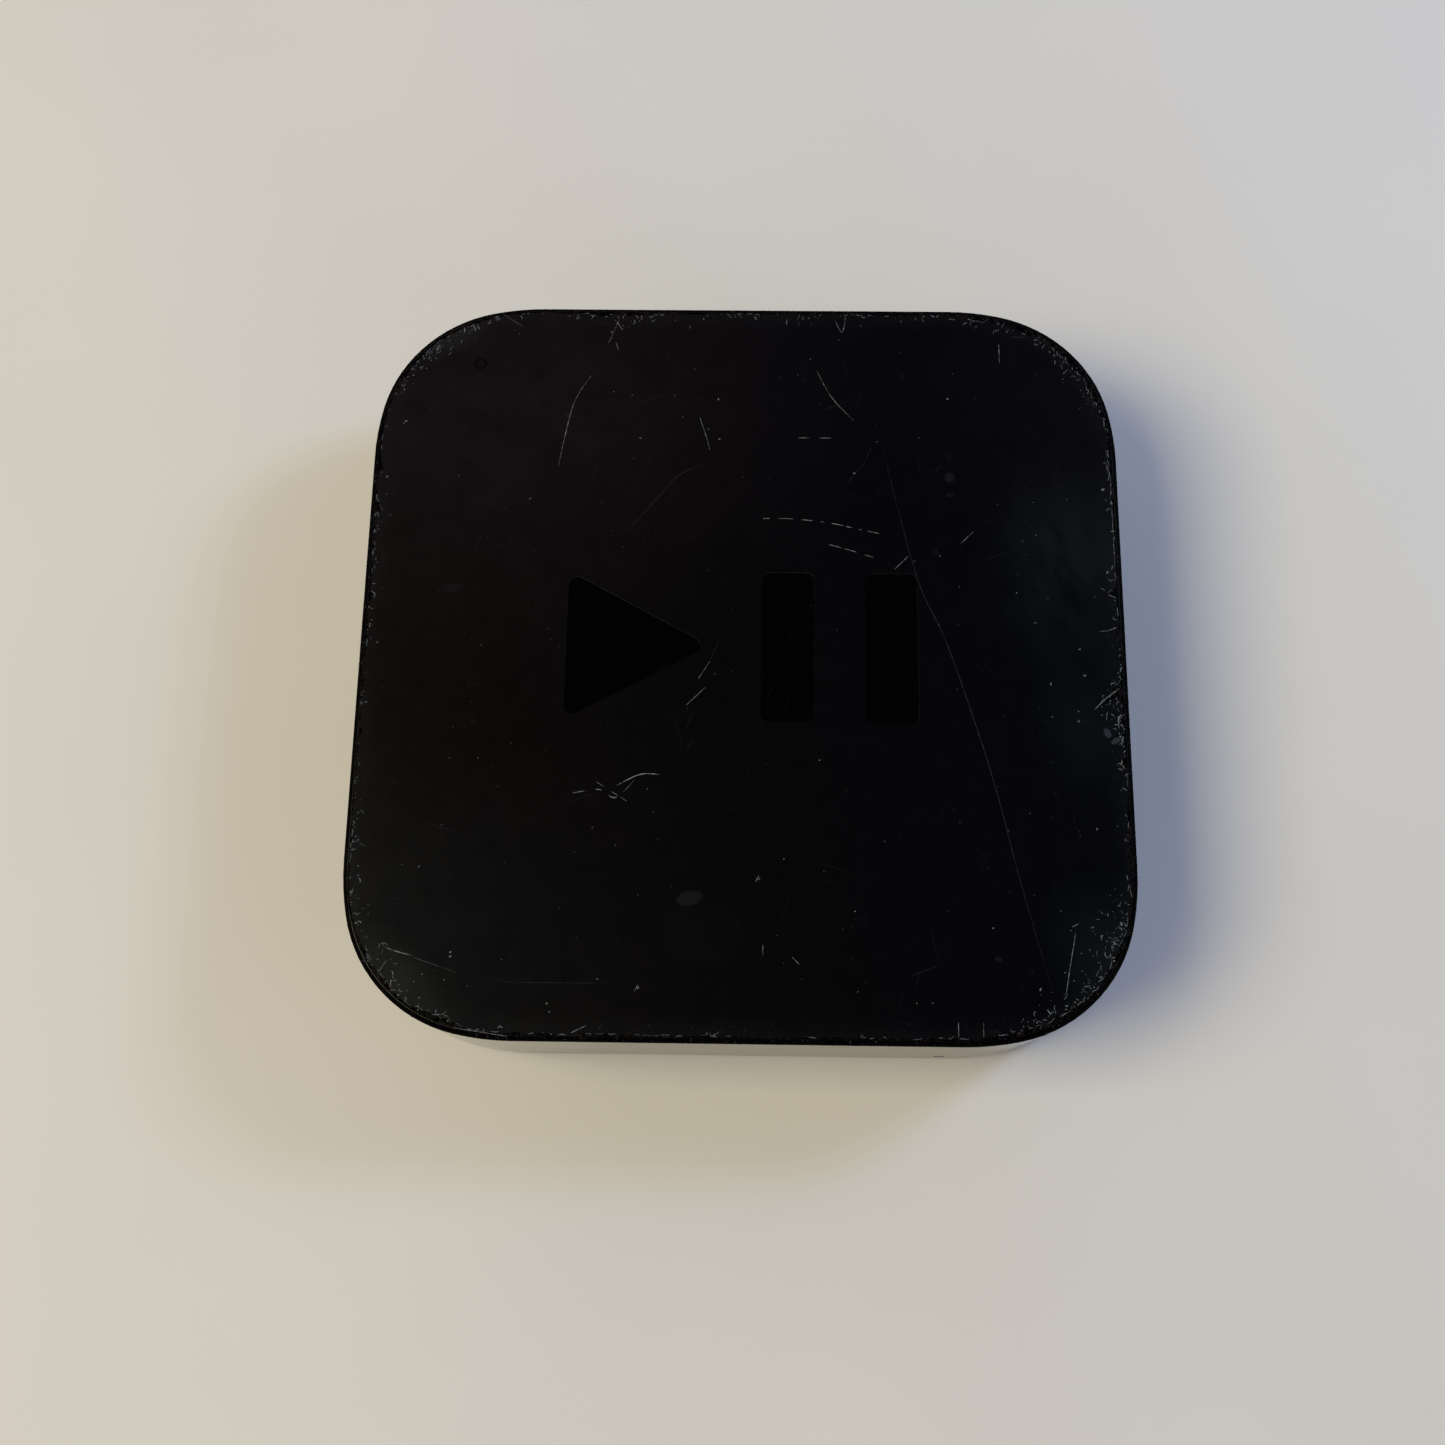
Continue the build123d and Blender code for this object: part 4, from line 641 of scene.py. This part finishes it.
def ridge(mesh, route, width, height, base):
    """A closed raised line along a route: triangular across, tapered to a point at both ends."""
    rings = []
    last = len(route) - 1
    for index, point in enumerate(route):
        ahead = route[min(index + 1, last)] - route[max(index - 1, 0)]
        side = Vector((-ahead.y, ahead.x)).normalized()
        taper = max(math.sin(math.pi * index / last), 0.0) ** 0.5
        if index in (0, last):
            rings.append([mesh.verts.new((point.x * MM, point.y * MM, base * MM))])
            continue
        half = side * width * taper / 2 * chance.uniform(0.6, 1.3)
        corners = [(point + half, 0.0), (point, height * taper), (point - half, 0.0)]
        rings.append([mesh.verts.new((p.x * MM, p.y * MM, (base + rise) * MM)) for p, rise in corners])
    for first, second in zip(rings, rings[1:]):
        for corner in range(3):
            turn = (corner + 1) % 3
            if len(first) == 1:
                mesh.faces.new((first[0], second[corner], second[turn]))
            elif len(second) == 1:
                mesh.faces.new((first[corner], second[0], first[turn]))
            else:
                mesh.faces.new((first[corner], second[corner], second[turn], first[turn]))


def flake(mesh, x, y, length, width, height, turn, base):
    """A small closed chip with an uneven outline that rises to one point."""
    count = chance.randint(5, 7)
    along = Vector((math.cos(turn), math.sin(turn)))
    across = Vector((-along.y, along.x))
    ring = []
    for corner in range(count):
        angle = 2 * math.pi * corner / count
        reach = chance.uniform(0.55, 1.0)
        spot = Vector((x, y)) + along * math.cos(angle) * length / 2 * reach
        spot += across * math.sin(angle) * width / 2 * reach
        ring.append(mesh.verts.new((spot.x * MM, spot.y * MM, base * MM)))
    lean = along * chance.uniform(-0.25, 0.25) * length
    peak = mesh.verts.new(((x + lean.x) * MM, (y + lean.y) * MM, (base + height) * MM))
    for first, second in zip(ring, ring[1:] + ring[:1]):
        mesh.faces.new((first, second, peak))
    mesh.faces.new(reversed(ring))


def new_piece(name, mesh, material, smooth):
    """An object made from the mesh, which is freed, with this material."""
    data = bpy.data.meshes.new(name)
    mesh.to_mesh(data)
    mesh.free()
    data.materials.append(material)
    for face in data.polygons:
        face.use_smooth = smooth
    piece = bpy.data.objects.new(name, data)
    bpy.context.scene.collection.objects.link(piece)
    return piece


def add_wear(name, mesh, material):
    """Makes the mesh a faceted piece of wear that rides on the player."""
    bmesh.ops.recalc_face_normals(mesh, faces=mesh.faces)
    piece = new_piece(name, mesh, material, smooth=False)
    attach(piece, "player")


# Scratches on the top: their points, nominal width and whether they are broken into dashes.
BRIGHT_SCRATCHES = [
    ([(-20.5, 39), (-22.5, 35.5), (-23.5, 31.5), (-24.5, 25.5)], 0.16, False),
    ([(-17, 47.5), (-18.5, 43.5)], 0.12, False),
    ([(-17.5, 47), (-16.5, 45.5)], 0.18, False),
    ([(-17.5, 44), (-17, 42.5)], 0.14, False),
    ([(-7.5, 46.5), (-7.5, 45)], 0.16, True),
    ([(9.5, 40), (11.5, 36), (14.5, 32.5)], 0.13, False),
    ([(12, 47.5), (13, 45.5), (13.5, 48)], 0.16, False),
    ([(7, 30), (10, 30), (12.5, 30)], 0.16, True),
    ([(2.5, 18.5), (6, 18.5), (11, 18), (15.5, 17), (18, 16.5)], 0.2, True),
    ([(11, 15), (14.5, 14), (17.5, 13)], 0.18, True),
    ([(19.5, 11.5), (21.5, 13.5)], 0.14, False),
    ([(28, 15), (30, 17)], 0.12, False),
    ([(34, 44), (34, 41)], 0.15, False),
    ([(-5.5, -3.5), (-4, -1)], 0.16, False),
    ([(-7, -7), (-4.5, -4.5)], 0.16, False),
    ([(-21, -18.5), (-17.5, -18), (-15.5, -19), (-13, -16.5)], 0.2, True),
    ([(-15.5, -17.5), (-12.5, -16), (-10, -16)], 0.24, False),
    ([(-18, -17), (-14, -19.5)], 0.12, True),
    ([(41, -35), (40, -40), (39.5, -42.5), (39, -43)], 0.17, False),
    ([(40.5, -34.5), (41.5, -34)], 0.28, False),
    ([(-43, -38), (-41.5, -38.5), (-39.5, -39)], 0.22, False),
    ([(-40, -39), (-37, -40), (-34, -41)], 0.06, False),
    ([(-43, -38), (-43.5, -37.5), (-43, -37.5), (-42.5, -38)], 0.14, False),
    ([(-20, -48), (-18, -47)], 0.18, False),
    ([(-6, 33), (-5, 30), (-4.5, 28)], 0.12, False),
    ([(26.5, -46), (26.5, -48)], 0.14, False),
    ([(29.5, -46), (29.5, -48)], 0.14, False),
    ([(3, -37), (3, -38.5)], 0.17, False),
    ([(6.5, -38.5), (7.5, -39.5)], 0.16, False),
    ([(2, -29.5), (2.5, -28.5)], 0.2, False),
    ([(-12.5, -43), (-12, -42)], 0.16, False),
    # lips and curls at the right edge, and at the left corners
    ([(48, 21), (48, 16), (48, 12)], 0.1, False),
    ([(45.5, 3.5), (46.5, 3.5), (48, 4)], 0.18, False),
    ([(44.5, -7), (46, -5.5), (48, -4)], 0.26, False),
    ([(46, -8.5), (46, -7.5)], 0.16, False),
    ([(47.5, -9.5), (47.5, -8), (48, -7.5)], 0.3, False),
    ([(-43.5, -41), (-43, -40), (-42.5, -39.5)], 0.18, False),
    ([(-42, -43), (-42, -42), (-41.5, -42)], 0.3, False),
    ([(-38.5, -45.5), (-38.5, -44.5)], 0.16, False),
    ([(-37, -46), (-35.5, -46), (-35, -45.5)], 0.16, False),
    ([(-34.5, -47.5), (-31, -48), (-27.5, -48.5)], 0.2, False),
    ([(-38, 45), (-38, 46)], 0.22, False),
    ([(-36.5, 45.5), (-37, 46.5)], 0.22, False),
    ([(-33, 48), (-30, 46)], 0.08, False),
    ([(-45.5, 31.5), (-45, 32)], 0.22, False),
]
FAINT_SCRATCHES = [
    ([(-4.5, 26.5), (-8.5, 24.5), (-11.5, 21), (-14, 18), (-16, 16)], 0.12, False),
    (
        [(18, 30), (20.5, 18.5), (23, 9), (26, 2), (29.5, -9), (32, -18), (34.5, -29), (38.5, -44.5)],
        0.15, False,
    ),
    ([(-30, -41.5), (-27.5, -42), (-16, -42)], 0.12, False),
    ([(-4, -1), (-3, 1.5)], 0.1, False),
    ([(12, 22), (15.5, 26), (17, 29.5)], 0.08, False),
    ([(35.5, 45), (38, 45)], 0.2, False),
    ([(47.5, 27), (48, 24.5), (48, 22)], 0.9, False),
]
# Places where the coat is gouged through to the black plastic, likewise.
GOUGES = [
    ([(45, -7), (46.5, -5.5), (48, -5)], 0.75, False), ([(46.5, 4), (48, 3.5)], 0.3, False),
    ([(25, 14), (26, 14.5)], 0.5, False), ([(15, 5.5), (16.5, 5)], 0.5, False),
]
# Single chips and specks: x, y, length, width and turn in degrees.
FLECKS = [
    (2.5, -29, 0.7, 0.2, 60), (5.5, -26.5, 0.35, 0.2, 0), (-12, -42.5, 0.6, 0.2, 50),
    (-17, -41.5, 0.4, 0.2, 0), (-35, -39, 0.6, 0.35, 35), (-23, -44.5, 0.45, 0.3, 10),
    (-39.5, -28, 0.8, 0.15, 80), (-47, -28, 0.4, 0.3, 0), (-28, 21, 0.6, 0.2, 40), (-45, 32, 0.5, 0.25, 0),
    (-47, 24, 0.5, 0.35, 45), (-3.5, 35.5, 0.55, 0.3, 80), (-15, 36, 0.35, 0.25, 0),
    (-17.5, 36.5, 0.3, 0.2, 0), (14.5, 25, 0.6, 0.3, 0), (17.5, 29.5, 0.35, 0.2, 0),
    (38, 16.5, 0.45, 0.2, 60), (37.5, 4.5, 0.6, 0.2, 170), (47, 11.5, 0.7, 0.25, 55), (43, 1, 0.5, 0.3, 0),
    (43.5, -2.5, 0.7, 0.4, 0), (42.5, -8.5, 0.7, 0.3, 50), (47, 23, 0.8, 0.5, 30),
    (43, -34.5, 0.6, 0.3, 30), (46.5, -34, 0.8, 0.5, 110), (46, -36, 0.8, 0.25, 0),
    (45.5, -38.5, 0.6, 0.5, 0), (39.5, -40, 0.3, 0.25, 0), (39.5, -44, 0.6, 0.4, 0),
    (36.5, -42, 0.7, 0.4, 70), (-41.5, -42, 0.6, 0.4, 20), (-41, -42.5, 0.4, 0.3, 80),
    (-38.5, -45.5, 0.5, 0.3, 0), (-36, -46, 0.5, 0.3, 30), (-35, -38.5, 0.5, 0.3, 40),
    (25.5, 13.5, 0.3, 0.2, 40),
]
SCRATCH_SHARE = 0.54  # how much of its nominal width a scratch has
SCRATCH_STEP = 0.35  # between the points of a scratch
CONTOUR_POINTS = 3600  # about 0.1 mm apart
# Noise along the torn line, in features to the millimetre: waves, teeth, nibs, and how bold it is.
TEAR_SCALES = (0.3, 0.95, 2.7, 0.5)
TEAR_SLICE = 7.0  # which slice of the noise is used
TEAR_GAP = 0.03  # the torn line stays at least this far inside the rim
RING_UNDER, RING_OVER = -0.01, 0.006  # the bare ring's underside and top, from the top face
RING_LAP = 0.04  # how far the bare ring reaches over the rim
CURLS_TRIED = 1200
CURL_STEP = 0.09  # between the points of a curl
BURR_COUNT = 330
BURR_REACH = 6.0  # no burr lies further in than this
DOTS_TRIED = 130
DOT_INSET = 2.0  # dust keeps this far from the outline
FLAKE_LENGTH = 0.22  # half of the burrs and dust are longer


def add_scratches(name, scratches, height, material):
    """Raised lines along the listed scratches, all of one height, as one piece."""
    mesh = bmesh.new()
    for points, width, dashed in scratches:
        route = smooth_route(points, SCRATCH_STEP)
        while len(route) > 2:
            length = chance.randint(3, 7) if dashed else len(route)
            dash = route[:length]
            route = route[length - 1:] if length < len(route) else []
            if len(dash) > 2:
                ridge(mesh, dash, width * SCRATCH_SHARE, height, TOP - BURIED)
            if dashed:
                route = route[chance.randint(0, 2):]
    add_wear(name, mesh, material)


def scraped(name, colour, roughness):
    """Torn or scraped plastic: pale and rough, uneven in tone."""
    material, maker, shader = new_material(name, colour, roughness, specular=0.2)
    place = maker.place()
    tone = maker.grain(place, 1.3, 4.0, 0.7)
    dark = tuple(c * 0.2 for c in colour)
    maker.feed(shader.inputs["Base Color"], maker.mix(maker.ramp(tone, 0.35, 0.62), dark, colour))
    maker.feed(shader.inputs["Roughness"], maker.between(tone, roughness * 0.8, roughness))
    bumped(maker, shader, maker.grain(place, 9.0), 0.4, 0.02)
    return material


scraped_bright = scraped("scraped_bright", (0.215, 0.235, 0.25), 0.6)
scraped_faint = scraped("scraped_faint", (0.028, 0.029, 0.034), 0.8)
add_scratches("bright_scratches", BRIGHT_SCRATCHES, 0.03, scraped_bright)
add_scratches("gouges", GOUGES, 0.012, polished_black("gouged", 0.02))
add_scratches("faint_scratches", FAINT_SCRATCHES, 0.016, scraped_faint)


def outline_point(aim, depth):
    """The point this far inside the outline, in a direction from the middle, found by halving."""
    low, high = 0.0, 2 * HALF
    for _ in range(40):
        middle = (low + high) / 2
        if inset(aim.x * middle, aim.y * middle) > depth:
            low = middle
        else:
            high = middle
    return aim * low


def torn_contour():
    """The ragged line where the coat now ends, and how bold the torn edge is at each of its points."""
    points, boldness = [], []
    for step in range(CONTOUR_POINTS):
        angle = 2 * math.pi * step / CONTOUR_POINTS
        aim = Vector((math.cos(angle), math.sin(angle)))
        edge = outline_point(aim, 0.0)
        wave, tooth, nib, fade = [
            noise.noise(Vector((edge.x * scale, edge.y * scale, TEAR_SLICE * scale))) for scale in TEAR_SCALES
        ]
        worn = pull(edge.x, edge.y, WEAR_SPOTS)
        scuffed = pull(edge.x, edge.y, SCUFF_SPOTS)
        bitten = pull(edge.x, edge.y, BITES) * (1.0 + 0.5 * nib)
        spread = WEAR_WIDTH - RIM + worn
        depth = spread * (1.0 + 0.9 * wave + 0.6 * tooth) + 0.32 * nib * spread**0.5
        points.append(outline_point(aim, RIM + max(depth + bitten, TEAR_GAP)))
        boldness.append(fade + 0.3 * scuffed + 0.6 * worn)
    return points, boldness


def add_bare_edge(contour):
    """The band of the case's own plastic laid bare outside the torn line: a thin closed ring."""
    mesh = bmesh.new()
    rim_loop = [outline_point(point.normalized(), RIM - RING_LAP) for point in contour]
    loops = [
        [mesh.verts.new((p.x * MM, p.y * MM, (TOP + lift) * MM)) for p in loop]
        for lift in (RING_UNDER, RING_OVER) for loop in (contour, rim_loop)
    ]
    inner_low, outer_low, inner_high, outer_high = loops
    around = (inner_high, outer_high, outer_low, inner_low)
    for start, end in zip(around, around[1:] + around[:1]):
        for index in range(len(contour)):
            after = (index + 1) % len(contour)
            mesh.faces.new((start[index], start[after], end[after], end[index]))
    add_wear("bare_edge", mesh, bare_plastic())


def add_lips(mesh, contour, boldness):
    """Curled lips of coat along the torn line, broken where it is faint."""
    index = 0
    while index < len(contour):
        length = chance.randint(3, 14)
        run = contour[index:index + length]
        if boldness[index] > chance.uniform(-0.25, 0.45) and len(run) > 3:
            ridge(mesh, run, chance.uniform(0.05, 0.12), 0.025, TOP)
        index += length + chance.randint(0, 6)


def add_curls(mesh, contour, boldness):
    """Short curls of coat inside the torn line, most of them where it is bold or scuffed."""
    for _ in range(CURLS_TRIED):
        spot = chance.randrange(len(contour))
        edge = contour[spot]
        scuff = pull(edge.x, edge.y, SCUFF_SPOTS)
        if 0.6 * max(boldness[spot], 0.0) + scuff < chance.uniform(0.0, 1.0):
            continue
        inwards = -edge.normalized()
        start = edge + inwards * chance.expovariate(1 / (0.15 + 1.3 * scuff))
        heading = math.atan2(inwards.y, inwards.x) + chance.gauss(0.0, 0.9)
        bend = chance.gauss(0.0, 0.35)
        route = [start]
        for _ in range(chance.randint(3, 9)):
            heading += bend
            route.append(route[-1] + Vector((math.cos(heading), math.sin(heading))) * CURL_STEP)
        if inset(route[-1].x, route[-1].y) > RIM + 0.1:
            ridge(mesh, route, chance.uniform(0.04, 0.12), 0.03, TOP)


def add_torn_edge(contour, boldness):
    """The lips and curls, as one piece."""
    mesh = bmesh.new()
    add_lips(mesh, contour, boldness)
    add_curls(mesh, contour, boldness)
    add_wear("torn_edge", mesh, scraped("torn_coat", (0.15, 0.178, 0.193), 0.55))


def any_place():
    """A random place in the square round the plan."""
    return chance.uniform(-HALF, HALF), chance.uniform(-HALF, HALF)


def add_burrs():
    """Flakes of coat scattered inside the torn line, thickest where the edge is scuffed."""
    mesh = bmesh.new()
    made = 0
    while made < BURR_COUNT:
        x, y = any_place()
        depth = inset(x, y) - WEAR_WIDTH
        if not 0 < depth < BURR_REACH or over_mark(x, y):
            continue
        scuff = pull(x, y, SCUFF_SPOTS) + 0.08
        if chance.random() > scuff * math.exp(-depth / (0.3 + 1.6 * scuff)):
            continue
        length = chance.lognormvariate(math.log(FLAKE_LENGTH), 0.65)
        width = min(length, FLAKE_LENGTH) * chance.uniform(0.5, 1.0)
        height = chance.uniform(0.02, 0.04)
        flake(mesh, x, y, length, width, height, chance.uniform(0, math.pi), TOP - BURIED)
        made += 1
    add_wear("edge_burrs", mesh, scraped("coat_flakes", (0.165, 0.178, 0.185), 0.55))


def add_dots():
    """Dust scattered over the top, and the listed chips and specks."""
    mesh = bmesh.new()
    for _ in range(DOTS_TRIED):
        x, y = any_place()
        if inset(x, y) < DOT_INSET or over_mark(x, y):
            continue
        length = chance.lognormvariate(math.log(FLAKE_LENGTH), 0.45)
        width = length * chance.uniform(0.3, 0.9)
        flake(mesh, x, y, length, width, 0.02, chance.uniform(0, math.pi), TOP - BURIED)
    for x, y, length, width, turn in FLECKS:
        flake(mesh, x, y, length, width, 0.03, math.radians(turn), TOP - BURIED)
    add_wear("dust_and_nicks", mesh, scraped("dust", (0.15, 0.16, 0.165), 0.7))


torn_line, torn_boldness = torn_contour()
add_bare_edge(torn_line)
add_torn_edge(torn_line, torn_boldness)
add_burrs()
add_dots()


# ------------------------------------------------------------ the shutter's spring
SEAM = 0.001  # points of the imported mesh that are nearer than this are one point


def add_winding_spring():
    """The shutter's spring as a piece of its own, its doubled points merged, standing in for the hidden
    imported spring.
    """
    mesh = bmesh.new()
    mesh.from_mesh(nodes["shutter_spring"].data)
    bmesh.ops.remove_doubles(mesh, verts=mesh.verts, dist=SEAM * MM)
    piece = new_piece("winding_spring", mesh, by_node["shutter_spring"], smooth=True)
    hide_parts("shutter_spring")
    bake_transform(piece)


add_winding_spring()

# ------------------------------------------------------------ floor
FLOOR_SIZE = 4.0  # metres
FLOOR_DROP = 0.05  # keeps the floor clear of the foot's underside


def add_floor():
    """A plain pale floor that fills the camera's view and reaches far in others."""
    bpy.ops.mesh.primitive_plane_add(size=FLOOR_SIZE, location=(0, 0, -FLOOR_DROP * MM))
    floor = bpy.context.active_object
    floor.name = "floor"
    material, maker, shader = new_material("pale_floor", (0.72, 0.72, 0.70), 0.7, specular=0.2)
    tone = maker.grain(maker.place(), 0.02, 4.0)
    maker.feed(shader.inputs["Base Color"], maker.mix(tone, (0.70, 0.70, 0.69), (0.75, 0.745, 0.735)))
    floor.data.materials.append(material)


add_floor()
